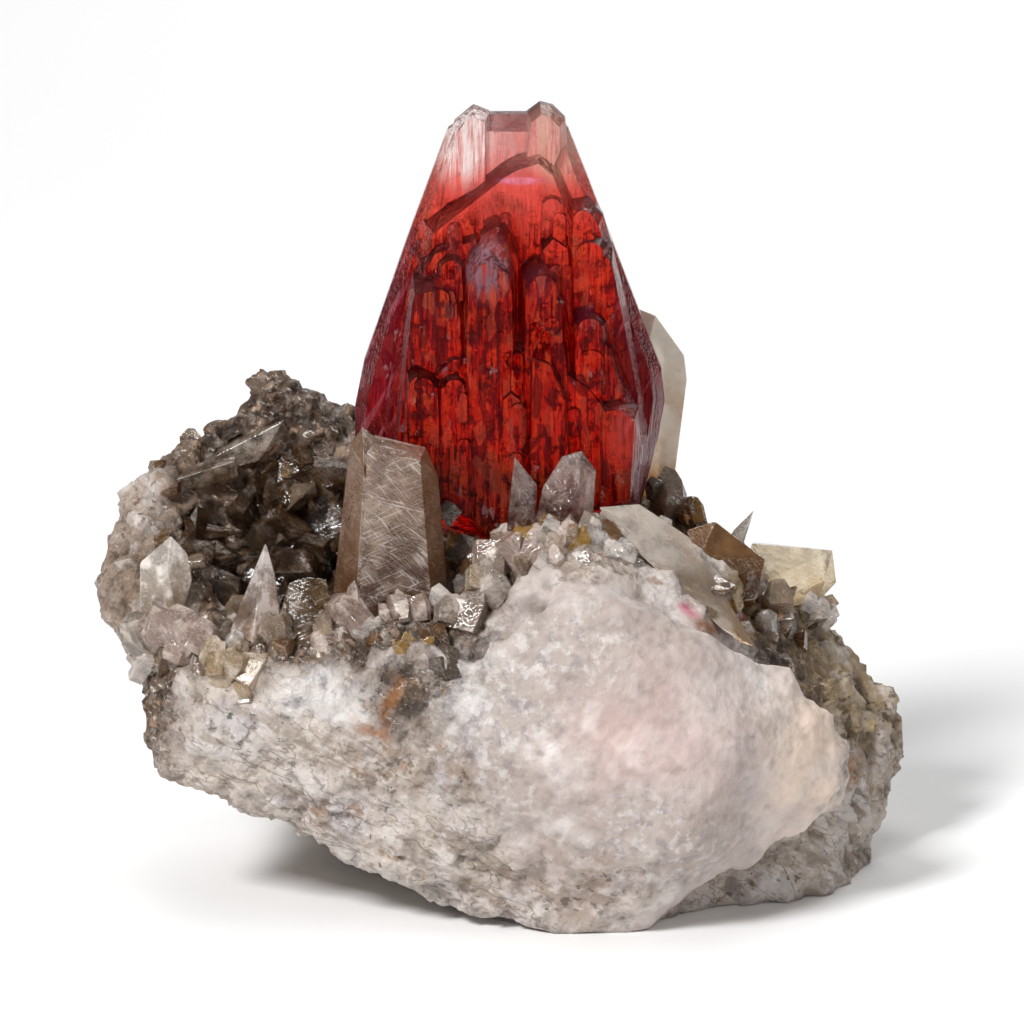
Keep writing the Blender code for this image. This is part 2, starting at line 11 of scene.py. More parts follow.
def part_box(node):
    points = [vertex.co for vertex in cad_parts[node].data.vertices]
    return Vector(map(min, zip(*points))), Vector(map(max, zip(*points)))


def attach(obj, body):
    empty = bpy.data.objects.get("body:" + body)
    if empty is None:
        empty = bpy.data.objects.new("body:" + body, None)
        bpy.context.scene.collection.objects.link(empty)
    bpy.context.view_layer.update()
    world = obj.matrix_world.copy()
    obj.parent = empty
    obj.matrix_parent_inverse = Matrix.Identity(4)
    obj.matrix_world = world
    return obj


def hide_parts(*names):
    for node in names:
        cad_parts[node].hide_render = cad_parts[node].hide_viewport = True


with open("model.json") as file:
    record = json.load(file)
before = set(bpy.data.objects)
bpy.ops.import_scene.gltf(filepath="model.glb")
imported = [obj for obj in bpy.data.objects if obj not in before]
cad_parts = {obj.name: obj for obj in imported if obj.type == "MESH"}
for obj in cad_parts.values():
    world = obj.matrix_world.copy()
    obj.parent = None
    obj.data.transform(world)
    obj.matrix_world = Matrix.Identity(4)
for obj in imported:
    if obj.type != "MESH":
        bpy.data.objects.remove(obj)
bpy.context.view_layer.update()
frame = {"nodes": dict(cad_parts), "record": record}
nodes = frame["nodes"]
scene = bpy.context.scene
mm = 0.001
perMm = 1000.0  # a pattern that repeats once a millimetre
slotOf = {row["node"]: row["material_slot"] for row in frame["record"]["subparts"]}


def linear(code):  # an sRGB hex colour as linear values
    channels = [int(code[i:i + 2], 16) / 255 for i in (1, 3, 5)]
    return tuple(c / 12.92 if c <= 0.04045 else ((c + 0.055) / 1.055) ** 2.4 for c in channels) + (1.0,)


def liveOutput(node):  # the output of the data type that the node is set to
    return next(socket for socket in node.outputs if socket.enabled)


def setUp(tree, node, settings):  # links the nodes and sockets among the values and sets the rest
    for name, value in settings.items():
        if isinstance(name, str) and hasattr(node, name):
            setattr(node, name, value)
            continue
        if isinstance(value, bpy.types.Node):
            value = liveOutput(value)
        if isinstance(value, bpy.types.NodeSocket):
            tree.links.new(value, node.inputs[name])
        else:
            node.inputs[name].default_value = value


def addNode(tree, kind, settings=None):
    node = tree.nodes.new(kind)
    setUp(tree, node, settings or {})
    return node


def overlaid(tree, colour, coats):  # lays the colour of each mask over what is below it
    for mask, tint in coats:
        colour = addNode(tree, "ShaderNodeMix", {"data_type": "RGBA", 0: mask, 6: colour, 7: linear(tint)})
    return colour


def startMaterial(name):
    material = bpy.data.materials.new(name)
    material.use_nodes = True
    tree = material.node_tree
    place = addNode(tree, "ShaderNodeTexCoord").outputs["Object"]
    return material, tree, tree.nodes["Principled BSDF"], place


def addAbsorption(tree, perMetre):  # how much red, green and blue a clear material takes up
    density = max(perMetre) * 1.05  # a little over the largest, so that no channel of the tint is black
    tint = [1 - value / density for value in perMetre] + [1.0]
    depth = addNode(tree, "ShaderNodeVolumeAbsorption", {"Color": tint, "Density": density})
    setUp(tree, tree.nodes["Material Output"], {"Volume": depth})


def crispEdges(thing, width):  # flat faces with fine bevelled edges, which the attribute "edge" marks
    flatWithin, sharpFrom = math.radians(2), math.radians(15)
    slender = 2.5  # a face of an edge is narrower than this many bevel widths
    clean = thing.modifiers.new("clean", "DECIMATE")
    clean.decimate_type = "DISSOLVE"
    clean.angle_limit = flatWithin
    edge = thing.modifiers.new("edge", "BEVEL")
    edge.width = width * mm
    edge.segments = 1
    edge.limit_method = "ANGLE"
    edge.angle_limit = sharpFrom
    baked(thing)
    mesh = thing.data
    mesh.shade_flat()
    layer = mesh.attributes.new("edge", "FLOAT", "FACE")
    isEdge = []
    for face in mesh.polygons:
        corners = [mesh.vertices[index].co for index in face.vertices]
        length = max((a - b).length for a in corners for b in corners)
        isEdge.append(face.area < slender * width * mm * length)
    layer.data.foreach_set("value", isEdge)


def meshObject(name, bm):
    mesh = bpy.data.meshes.new(name)
    bm.to_mesh(mesh)
    bm.free()
    thing = bpy.data.objects.new(name, mesh)
    scene.collection.objects.link(thing)
    return thing


def cadCopy(name, node):  # the CAD node's solid with its loose triangles merged
    bm = bmesh.new()
    bm.from_mesh(nodes[node].data)
    bmesh.ops.remove_doubles(bm, verts=bm.verts, dist=0.001 * mm)
    return meshObject(name, bm)


def baked(thing):  # the mesh that the object's modifiers make
    bpy.context.view_layer.update()
    graph = bpy.context.evaluated_depsgraph_get()
    mesh = bpy.data.meshes.new_from_object(thing.evaluated_get(graph))
    thing.modifiers.clear()
    thing.data = mesh
    return thing


def hull(corners):  # a convex solid from its corners, in millimetres
    bm = bmesh.new()
    for corner in corners:
        bm.verts.new(Vector(corner) * mm)
    bmesh.ops.convex_hull(bm, input=bm.verts)
    bmesh.ops.delete(bm, geom=[v for v in bm.verts if not v.link_faces], context="VERTS")
    bmesh.ops.recalc_face_normals(bm, faces=bm.faces)
    return bm


def zone(point, row):  # 1 inside an ellipsoid of centre, radii and edge, fading to 0 over its edge
    centre, radii, edge = row
    away = math.sqrt(sum(((p - c) / r) ** 2 for p, c, r in zip(point, centre, radii)))
    return max(0.0, min(1.0, (1.0 - away) / edge + 0.5))


def share(point, zones):
    return max(zone(point, row) for row in zones)


def setAttribute(mesh, name, values):
    layer = mesh.attributes.new(name, "FLOAT", "POINT")
    layer.data.foreach_set("value", np.asarray(values, np.float32))


def finishPiece(thing, material, slot, *replaced):
    thing.data.materials.clear()
    thing.data.materials.append(material)
    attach(thing, "root")
    if replaced:
        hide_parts(*replaced)


# The matrix: carbonate rock, broken by hand, with a smooth pale mass at the front right.
# Every zone is its centre, its radii and the width of its edge, in millimetres.

matrixLook = {
    "voxel": 0.15,
    "drift": (1.3, 0.7),  # size and reach of the waves in every zone's edge
    "ramp": (0.05, 0.4),  # the relief starts at this height over the foot and is full this much higher
    "greyBase": "#bdb1a7",
    "paleBase": "#b3a49d",
    "creviceShade": (0.03, -0.15, 0.5, "#5d4c3e"),  # painted shade in its low places: relief from, to, strength and colour
    "gloss": (0.5, 0.42, 0.85),  # size of its patches, and the roughness from one to the other
    "bump": (0.22, 0.30, 0.08),  # size of grit, size of grains and depth
    "zones": {
        "pale": [((5.6, -7.0, 5.4), (6.2, 4.2, 5.4), 0.25), ((2.2, -6.6, 9.8), (3.0, 2.4, 1.8), 0.4)],
        "flush": [((4.5, -8.4, 6.4), (2.6, 2.5, 2.2), 1.4)],
        "peach": [((9.8, -6.0, 5.4), (1.6, 3.0, 3.2), 1.0)],
        "dark": [((-6.4, 0.2, 11.0), (5.0, 5.2, 3.4), 0.3), ((-7.2, 3.8, 14.2), (4.6, 5.0, 3.2), 0.35),
                 ((-11.0, -3.4, 6.8), (1.2, 2.2, 2.4), 0.8), ((-5.2, -4.9, 9.2), (6.6, 1.7, 1.3), 0.6),
                 ((-1.6, -2.6, 10.4), (3.6, 3.4, 1.4), 0.6), ((9.2, -0.8, 8.0), (2.6, 2.8, 2.8), 0.5),
                 ((-3.0, -6.8, 8.0), (1.3, 1.2, 1.3), 0.8), ((5.0, 2.6, 11.2), (1.8, 2.0, 1.4), 0.5),
                 ((-11.8, -1.0, 9.6), (1.0, 3.0, 1.2), 1.6)],
        "olive": [((11.4, 2.6, 6.0), (2.8, 4.5, 3.4), 0.5), ((8.6, -1.0, 9.4), (1.6, 2.4, 1.4), 0.6)],
        "speckle": [((0.6, -7.0, 9.4), (3.2, 2.0, 1.6), 0.8), ((0.0, -7.4, 6.6), (2.2, 2.0, 3.0), 1.0),
                    ((4.6, -8.0, 3.2), (3.0, 2.4, 1.8), 1.0)],
        "stain": [((-3.6, -6.9, 5.4), (1.9, 1.6, 0.9), 1.2), ((-1.2, -7.4, 5.4), (1.0, 1.6, 0.8), 1.2),
                  ((2.2, -7.6, 1.6), (2.6, 1.6, 1.2), 1.2),
                  ((-12.2, -0.4, 10.2), (1.6, 3.6, 2.4), 1.0), ((-11.4, 1.4, 11.4), (1.8, 3.0, 1.6), 0.8),
                  ((1.6, -4.0, 11.5), (3.2, 1.6, 0.8), 0.8)],
        "white": [((-5.4, -6.6, 7.4), (2.1, 1.2, 1.0), 0.8), ((-0.4, -6.9, 8.2), (1.9, 1.4, 1.6), 0.8)],
        "rust": [((-3.7, -6.8, 7.4), (0.22, 1.0, 1.0), 1.2), ((-4.1, -6.8, 6.6), (0.6, 1.0, 0.2), 1.2),
                 ((11.2, -1.0, 3.3), (0.5, 1.5, 0.5), 1.2), ((6.4, -4.8, 9.3), (1.0, 1.0, 0.4), 1.2)],
        "pink": [((2.5, -3.2, 12.2), (0.4, 0.6, 0.3), 1.0), ((6.0, -4.8, 9.9), (0.3, 0.5, 0.25), 1.0),
                 ((7.6, -1.7, 8.8), (0.25, 0.5, 0.35), 1.0)],
        "brick": [((-7.5, -5.8, 2.8), (0.25, 0.5, 0.2), 1.0)],
    },
    # size, height
    "relief": {"lump": (2.6, 0.16), "chip": (1.25, 0.26), "flake": (0.6, 0.22), "grit": (0.30, 0.07)},
    # pattern, size, stretch, from, to, strength, colour, and the zone that it keeps to
    "layers": [
        ("noise", 2.2, 1.0, 0.46, 0.60, 0.75, "#cbc3bf", None),
        ("noise", 2.8, 1.0, 0.54, 0.66, 0.5, "#a8a0a6", None),
        ("noise", 1.4, 2.4, 0.52, 0.62, 0.7, "#8f7f70", None),
        ("noise", 0.30, 1.8, 0.54, 0.64, 0.45, "#8a7a6c", None),
        ("noise", 0.26, 1.4, 0.44, 0.34, 0.5, "#dcd5d0", None),
        ("noise", 0.20, 1.4, 0.64, 0.69, 0.6, "#5c4a3c", None),
        ("noise", 0.9, 1.3, 0.60, 0.68, 0.6, "#8d6848", None),
        ("vein", 1.6, 2.0, 0.014, 0.004, 0.5, "#5e4c3e", None),
        ("noise", 0.42, 1.0, 0.68, 0.71, 0.8, "#3b4638", None),
        ("noise", 0.9, 1.0, 0.30, 0.58, 0.7, "#d2cecd", "white"),
        ("noise", 0.7, 1.0, 0.56, 0.66, 0.7, "#85828b", "white"),
    ],
    "paleLayers": [
        ("noise", 4.2, 1.0, 0.42, 0.60, 0.85, "#cdc2bd", None),
        ("noise", 2.4, 1.0, 0.52, 0.66, 0.75, "#e6deda", None),
        ("noise", 3.0, 1.0, 0.54, 0.70, 0.6, "#a89a98", None),
        ("noise", 1.0, 1.4, 0.56, 0.68, 0.45, "#a2958b", None),
        ("noise", 2.5, 1.0, 0.10, 0.60, 0.38, "#cfa8a2", "flush"),
        ("noise", 1.6, 1.0, 0.20, 0.60, 0.7, "#ecd2bc", "peach"),
    ],
    "topLayers": [
        ("noise", 0.8, 1.0, 0.20, 0.50, 0.95, "#4c3622", "dark"),
        ("noise", 0.5, 1.0, 0.54, 0.66, 0.8, "#907560", "dark"),
        ("noise", 0.25, 1.0, 0.60, 0.66, 0.6, "#bba48e", "dark"),
        # painted white glints on the dark zone
        ("noise", 0.22, 2.4, 0.62, 0.66, 0.7, "#ddd6cc", "dark"),
        ("noise", 0.3, 1.0, 0.46, 0.38, 0.85, "#1e130a", "dark"),
        ("noise", 0.8, 1.0, 0.25, 0.60, 0.85, "#8c7350", "olive"),
        ("noise", 0.5, 1.0, 0.54, 0.64, 0.65, "#b8a47c", "olive"),
        ("noise", 0.6, 1.0, 0.44, 0.36, 0.8, "#4e3c26", "olive"),
        ("noise", 3.0, 1.0, 0.20, 0.50, 0.5, "#a39890", "speckle"),
        ("noise", 0.5, 1.0, 0.52, 0.64, 0.5, "#857e84", "speckle"),
        ("noise", 0.35, 1.0, 0.50, 0.64, 0.6, "#d6cfcd", "speckle"),
        ("noise", 0.7, 1.0, 0.40, 0.58, 0.7, "#8a7462", "stain"),
        ("noise", 0.3, 1.0, 0.56, 0.64, 0.7, "#4e4032", "stain"),
        ("noise", 0.5, 1.0, 0.20, 0.55, 0.9, "#8f5a2c", "rust"),
        ("noise", 0.3, 1.0, 0.10, 0.50, 0.8, "#b8506c", "pink"),
        ("noise", 0.3, 1.0, 0.10, 0.50, 0.9, "#9c4434", "brick"),
    ],
}


def chip(point, size):  # tilted little faces, as where crystals have broken off
    _, seeds = noise.voronoi(point / size)
    seed = seeds[0]
    tilt = Vector([noise.noise(seed * 5.3 + Vector((shift, 0, 0))) for shift in (0.0, 11.0, 23.0)])
    return (point / size - seed).dot(tilt) * 2.0


def buildMatrix():
    look = matrixLook
    rock = cadCopy("matrixRock", "matrix")
    melt = rock.modifiers.new("melt", "REMESH")
    melt.mode = "VOXEL"
    melt.voxel_size = look["voxel"] * mm
    soften = rock.modifiers.new("soften", "SMOOTH")
    soften.factor = 0.5
    soften.iterations = 4
    baked(rock)
    mesh = rock.data
    wobble = Vector((1.7, 5.1, 0.3))  # a place in the noise
    waveSize, reach = look["drift"]
    rampStart, rampHeight = look["ramp"]
    shares = {name: [] for name in look["zones"]}
    relief = []
    moved = []
    for vertex in mesh.vertices:
        point = vertex.co / mm
        turn = Vector([noise.noise(point / waveSize + wobble * step) for step in (1, 2, 3)])
        drift = point + turn * reach
        here = {name: share(drift, rows) for name, rows in look["zones"].items()}
        for name in ("dark", "olive"):
            here[name] *= 1 - here["pale"]
        for name, value in here.items():
            shares[name].append(value)
        # how broken the surface is: most where it is dark or olive, least where it is pale or white
        rough = max(0.5 * (1 - here["pale"]) + 0.12, here["dark"], here["olive"]) * (1 - 0.4 * here["white"])
        heights = {}
        for name, (size, height) in look["relief"].items():
            if name in ("lump", "grit"):
                heights[name] = height * noise.fractal(point / size + wobble, 1.0, 2.0, 3)
            else:
                heights[name] = height * chip(point + wobble, size)
        broken = rough * (heights["chip"] + heights["flake"])
        rise = heights["lump"] * (0.5 + 0.5 * rough) + broken
        rise += heights["grit"] * (0.35 + 0.65 * rough)
        grounded = min(1.0, max(0.0, (point.z - rampStart) / rampHeight))
        moved.append(vertex.normal * rise * grounded * mm)
        relief.append(broken + heights["grit"])
    for vertex, step in zip(mesh.vertices, moved):
        vertex.co += step
    for name, values in shares.items():
        setAttribute(mesh, name, values)
    setAttribute(mesh, "relief", relief)
    return rock


def layered(tree, place, colour, layers):  # lays each pattern of the table over the colour so far
    for pattern, size, stretch, low, high, strength, tint, zoneName in layers:
        scale = (stretch * size * mm, size * mm, size * mm / stretch ** 0.5)
        drawn = addNode(tree, "ShaderNodeMapping",
                        {"vector_type": "TEXTURE", "Vector": place, "Scale": scale,
                         "Location": (size * mm * 7, low * mm * 31, 0), "Rotation": (0, math.radians(28), 0)})
        source = addNode(tree, "ShaderNodeTexNoise",
                         {"Vector": drawn, "Scale": 1.0, "Detail": 3.0, "Roughness": 0.62})
        if pattern == "vein":  # a thin winding line, where the noise passes its middle
            source = addNode(tree, "ShaderNodeMath", {"operation": "SUBTRACT", 0: source, 1: 0.5})
            source = addNode(tree, "ShaderNodeMath", {"operation": "ABSOLUTE", 0: source})
        mask = addNode(tree, "ShaderNodeMapRange",
                       {"interpolation_type": "SMOOTHSTEP", 0: source, 1: low, 2: high, 4: strength})
        if zoneName:
            inside = addNode(tree, "ShaderNodeAttribute", {"attribute_name": zoneName}).outputs["Fac"]
            mask = addNode(tree, "ShaderNodeMath", {"operation": "MULTIPLY", 0: mask, 1: inside})
        colour = overlaid(tree, colour, [(mask, tint)])
    return colour


def rockMaterial():
    # carbonate rock with silicate bands: grey-white and speckled, earthy brown where weathered,
    # pink and sugary where pure
    look = matrixLook
    material, tree, shader, place = startMaterial("speckledCarbonateRock")
    grey = layered(tree, place, linear(look["greyBase"]), look["layers"])
    cream = layered(tree, place, linear(look["paleBase"]), look["paleLayers"])
    isPale = addNode(tree, "ShaderNodeAttribute", {"attribute_name": "pale"}).outputs["Fac"]
    colour = addNode(tree, "ShaderNodeMix", {"data_type": "RGBA", 0: isPale, 6: grey, 7: cream})
    colour = layered(tree, place, colour, look["topLayers"])
    relief = addNode(tree, "ShaderNodeAttribute", {"attribute_name": "relief"}).outputs["Fac"]
    # painted shade: the low places of the relief are darkened, where shade falls
    start, end, strength, tint = look["creviceShade"]
    creviceShade = addNode(tree, "ShaderNodeMapRange",
                     {"interpolation_type": "SMOOTHSTEP", 0: relief, 1: start, 2: end, 4: strength})
    colour = addNode(tree, "ShaderNodeMix", {"data_type": "RGBA", "blend_type": "MULTIPLY", 0: creviceShade,
                                             6: colour, 7: linear(tint)})

    patchSize, smooth, dull = look["gloss"]
    patch = addNode(tree, "ShaderNodeTexNoise", {"Vector": place, "Scale": perMm / patchSize, "Detail": 3.0})
    gloss = addNode(tree, "ShaderNodeMapRange", {0: patch, 1: 0.35, 2: 0.7, 3: smooth, 4: dull})
    gritSize, grainSize, depth = look["bump"]
    fine = addNode(tree, "ShaderNodeTexNoise",
                   {"Vector": place, "Scale": perMm / gritSize, "Detail": 3.0, "Roughness": 0.7})
    grains = addNode(tree, "ShaderNodeTexVoronoi", {"Vector": place, "Scale": perMm / grainSize})
    height = addNode(tree, "ShaderNodeMath", {"operation": "ADD", 0: fine, 1: grains})
    strength = addNode(tree, "ShaderNodeMapRange", {0: isPale, 3: 0.85, 4: 0.45})
    bump = addNode(tree, "ShaderNodeBump", {"Strength": strength, "Distance": depth * mm, "Height": height})
    setUp(tree, shader, {"Base Color": colour, "Roughness": gloss, "Normal": bump})
    return material


rock = buildMatrix()
rock.data.shade_smooth()
finishPiece(rock, rockMaterial(), "matrix_rock", "matrix")
print("matrix", len(rock.data.polygons), "faces")


# The wendwilsonite: a sheaf of blades, clear and deep red

redLook = {
    "absorb": (160, 950, 900),  # per metre of red, green and blue
    "ior": 1.62,
    "gleam": "#a85656",  # tint of the surface's own reflection
    # colour by height in millimetres; the dark red at the foot is painted shade
    "tints": [(10.8, "#7c100a"), (12.2, "#fa3c1c"), (15.4, "#ee2e16"), (17.6, "#d01e14"), (19.6, "#bc1818"),
              (20.9, "#ff6450"), (22.4, "#ff8a7c"), (23.0, "#ffc4b8"), (24.2, "#ffe6de")],
    # texture, size in millimetres, stretch upwards, turn in degrees, and settings
    "patterns": {
        "lines": ("ShaderNodeTexNoise", 0.15, 14.0, 0, {"Detail": 3.0, "Roughness": 0.7}),
        "stripes": ("ShaderNodeTexNoise", 0.32, 12.0, 28, {"Detail": 2.0, "Roughness": 0.5}),
        "spots": ("ShaderNodeTexNoise", 0.6, 1.0, 0, {"Detail": 3.0, "Roughness": 0.75}),
        "tile": ("ShaderNodeTexVoronoi", 0.26, 2.6, 0, {}),
        "chips": ("ShaderNodeTexVoronoi", 0.17, 2.6, 0, {}),
    },
    # pattern, from, to, strength and colour of the dark streaks and spots and of the painted orange glints,
    # which show where the crystal is thick
    "bands": [
        ("lines", 0.50, 0.57, 0.92, "#420206"), ("lines", 0.47, 0.41, 0.85, "#ff6a30"),
        ("spots", 0.52, 0.60, 0.88, "#340206"), ("spots", 0.44, 0.36, 0.7, "#ff5430"),
        ("tile", 0.32, 0.28, 0.7, "#38020a"), ("tile", 0.73, 0.77, 0.45, "#ff8a60"),
    ],
    "thin": (22.4, 20.5, 0.25),  # the bands grow from this share at the first height to all at the second
    # the dark sides: the crystal's middle, how much nearer it they come with each millimetre of height,
    # where they start and are full, strength and colour
    "flank": (0.2, 0.07, 4.3, 4.9, 0.8, "#70142a"),
    "flankStripes": (0.57, 0.62, 0.6, "#b86c7c"),
    "ledge": (0.3, 0.55, 0.8, "#340410"),  # painted shade on the faces that look up: from, to, strength and colour, by how far a face looks up
    # pale chips painted as reflections of small flat facets, also frosted
    "paleChipReflections": (0.82, 0.83, 0.45, "#d8b8b8"),
    # the middle of each added blade's top, its width, its length and how far it stands out, in millimetres
    "blades": [
        (-1.67, 20.40, 0.86, 1.4, 0.16), (-2.04, 19.5, 0.8, 1.8, 0.15), (-2.93, 19.35, 0.6, 2.0, 0.12),
        (-0.28, 21.4, 1.0, 1.6, 0.15), (1.17, 20.05, 1.15, 2.0, 0.14), (1.51, 21.1, 0.86, 1.5, 0.18),
        (2.68, 20.9, 1.2, 1.6, 0.16), (2.47, 21.8, 0.85, 1.2, 0.14), (1.48, 22.2, 0.76, 1.2, 0.12),
        (2.68, 18.6, 1.1, 1.8, 0.14), (-2.55, 16.8, 0.85, 1.5, 0.16), (-1.58, 16.75, 0.8, 1.5, 0.16),
        (0.22, 16.35, 0.36, 1.0, 0.12), (2.71, 17.6, 1.1, 1.6, 0.12), (0.85, 21.7, 0.34, 0.9, 0.1),
        (1.20, 21.5, 0.45, 1.2, 0.12), (3.18, 19.1, 0.9, 1.5, 0.12), (-0.9, 15.6, 0.3, 0.9, 0.08),
        (1.75, 15.9, 0.34, 1.1, 0.1), (0.9, 14.8, 0.4, 1.0, 0.08), (0.38, 17.5, 0.5, 1.7, 0.25),
        (0.42, 16.0, 0.6, 1.9, 0.25), (0.34, 14.4, 0.6, 1.6, 0.2), (2.12, 17.2, 0.5, 1.7, 0.25),
        (2.16, 15.7, 0.6, 1.9, 0.22), (2.05, 14.2, 0.6, 1.5, 0.2), (-1.34, 17.9, 0.5, 1.8, 0.22),
        (-1.38, 16.3, 0.5, 1.7, 0.2), (-1.3, 14.8, 0.6, 1.6, 0.18),
    ],
    # narrower blades at random: how many, lowest top and its range, spread and how it narrows upwards,
    # then least and extra width, length and height over the face
    "slivers": [
        {"count": 60, "z": (13.2, 5.0), "spread": (7.0, 0.42), "width": (0.14, 0.3), "power": 2,
         "length": (0.8, 1.6), "proud": (0.04, 0.06)},
        {"count": 36, "z": (18.0, 3.8), "spread": (7.2, 0.75), "width": (0.26, 0.4), "power": 1,
         "length": (0.7, 0.9), "proud": (0.07, 0.08)},
    ],
    "seed": 4,
    # centre, radii, turn in degrees, strength and colour of each painted patch, which is also frosted:
    # painted reflections at the top and on a cap, a painted violet highlight, painted coral glows, and
    # painted shade on the dark fingers
    "glows": [
        ((-1.25, 0.5, 23.8), (1.0, 1.8, 1.5), 12, 0.95, "#efe4e0"),
        ((1.6, 0.5, 23.6), (0.9, 1.8, 1.4), -14, 0.75, "#d2ab90"),
        ((0.3, 0.8, 23.9), (0.8, 1.4, 1.0), 0, 0.4, "#c78f88"),
        ((-0.6, -1.3, 20.1), (0.85, 1.2, 1.0), 0, 1.0, "#86646f"),
        ((1.05, -1.2, 19.6), (0.6, 1.2, 0.6), 0, 0.6, "#5c2438"),
        ((-2.2, -1.2, 19.0), (1.2, 1.3, 0.8), 0, 0.8, "#4a0c18"),
        ((2.5, -1.2, 18.4), (0.7, 1.2, 0.4), 0, 0.6, "#4e1830"),
        ((0.5, 0.0, 22.6), (0.75, 0.6, 0.14), 0, 0.6, "#e3b2e6"),
        ((3.75, -1.6, 14.8), (0.65, 0.9, 1.1), 0, 0.5, "#ff5c48"),
        ((0.7, 0.0, 21.9), (1.9, 0.9, 0.9), 0, 0.35, "#ff5646"),
        ((-2.2, -0.4, 21.4), (1.2, 0.9, 0.6), 0, 0.35, "#ff6450"),
        ((2.3, -0.6, 19.8), (0.9, 0.9, 1.0), 0, 0.3, "#ff3c20"),
    ],
}


# a blade with a round top that leans out of a face
def archedBlade(x, z, width, length, surface, proud, foot):
    corners = []
    arc = 6  # points in the round top
    for depth, trim in ((surface + 0.35, 0.0), (surface - proud, width * 0.14)):
        half = width / 2 - trim
        for step in range(arc):
            angle = math.pi * (0.1 + 0.8 * step / (arc - 1))
            corners.append((x + half * math.cos(angle), depth, z - trim - half * 0.9 * (1 - math.sin(angle))))
        corners += [(x - half, depth, z - width * 0.6), (x + half, depth, z - width * 0.6)]
    corners += [(x - width * 0.42, foot, z - length), (x + width * 0.42, foot, z - length)]
    corners.append((x, foot + 0.3, z - length))
    return hull(corners)


def bladeRows(look):  # the blades of the table and the random slivers
    rng = np.random.default_rng(look["seed"])
    rows = list(look["blades"])
    for kind in look["slivers"]:
        (low, tall), (spread, narrowing) = kind["z"], kind["spread"]
        for index in range(kind["count"]):
            z = low + tall * (index + rng.random()) / kind["count"]
            x = 0.3 + (rng.random() - 0.5) * (spread - narrowing * (z - low))
            width = kind["width"][0] + kind["width"][1] * rng.random() ** kind["power"]
            length = kind["length"][0] + kind["length"][1] * rng.random()
            rows.append((x, z, width, length, kind["proud"][0] + kind["proud"][1] * rng.random()))
    return rows


def buildRedCrystal():
    crystal = cadCopy("wendwilsoniteCrystal", "wendwilsonite_crystal")
    bm = bmesh.new()
    bm.from_mesh(crystal.data)
    tree = BVHTree.FromBMesh(bm)
    bm.free()
    for x, z, width, length, proud in bladeRows(redLook):
        hits = []
        for drop in (0.3 * width, length):
            seat, normal, _, _ = tree.ray_cast(Vector((x, -8, z - drop)) * mm, Vector((0, 1, 0)))
            hits.append(seat.y / mm if seat is not None and abs(normal.y) > 0.5 else None)
        if None in hits or abs(hits[0] - hits[1]) > 1.2:  # past the crystal's side, or over a step in it
            continue
        foot = hits[1] + 0.05
        blade = meshObject("blade", archedBlade(x, z, width, length, max(hits[0], foot), proud, foot))
        join = crystal.modifiers.new("join", "BOOLEAN")
        join.operation = "UNION"
        join.solver = "EXACT"
        join.object = blade
        baked(crystal)
        bpy.data.objects.remove(blade, do_unlink=True)
    return crystal


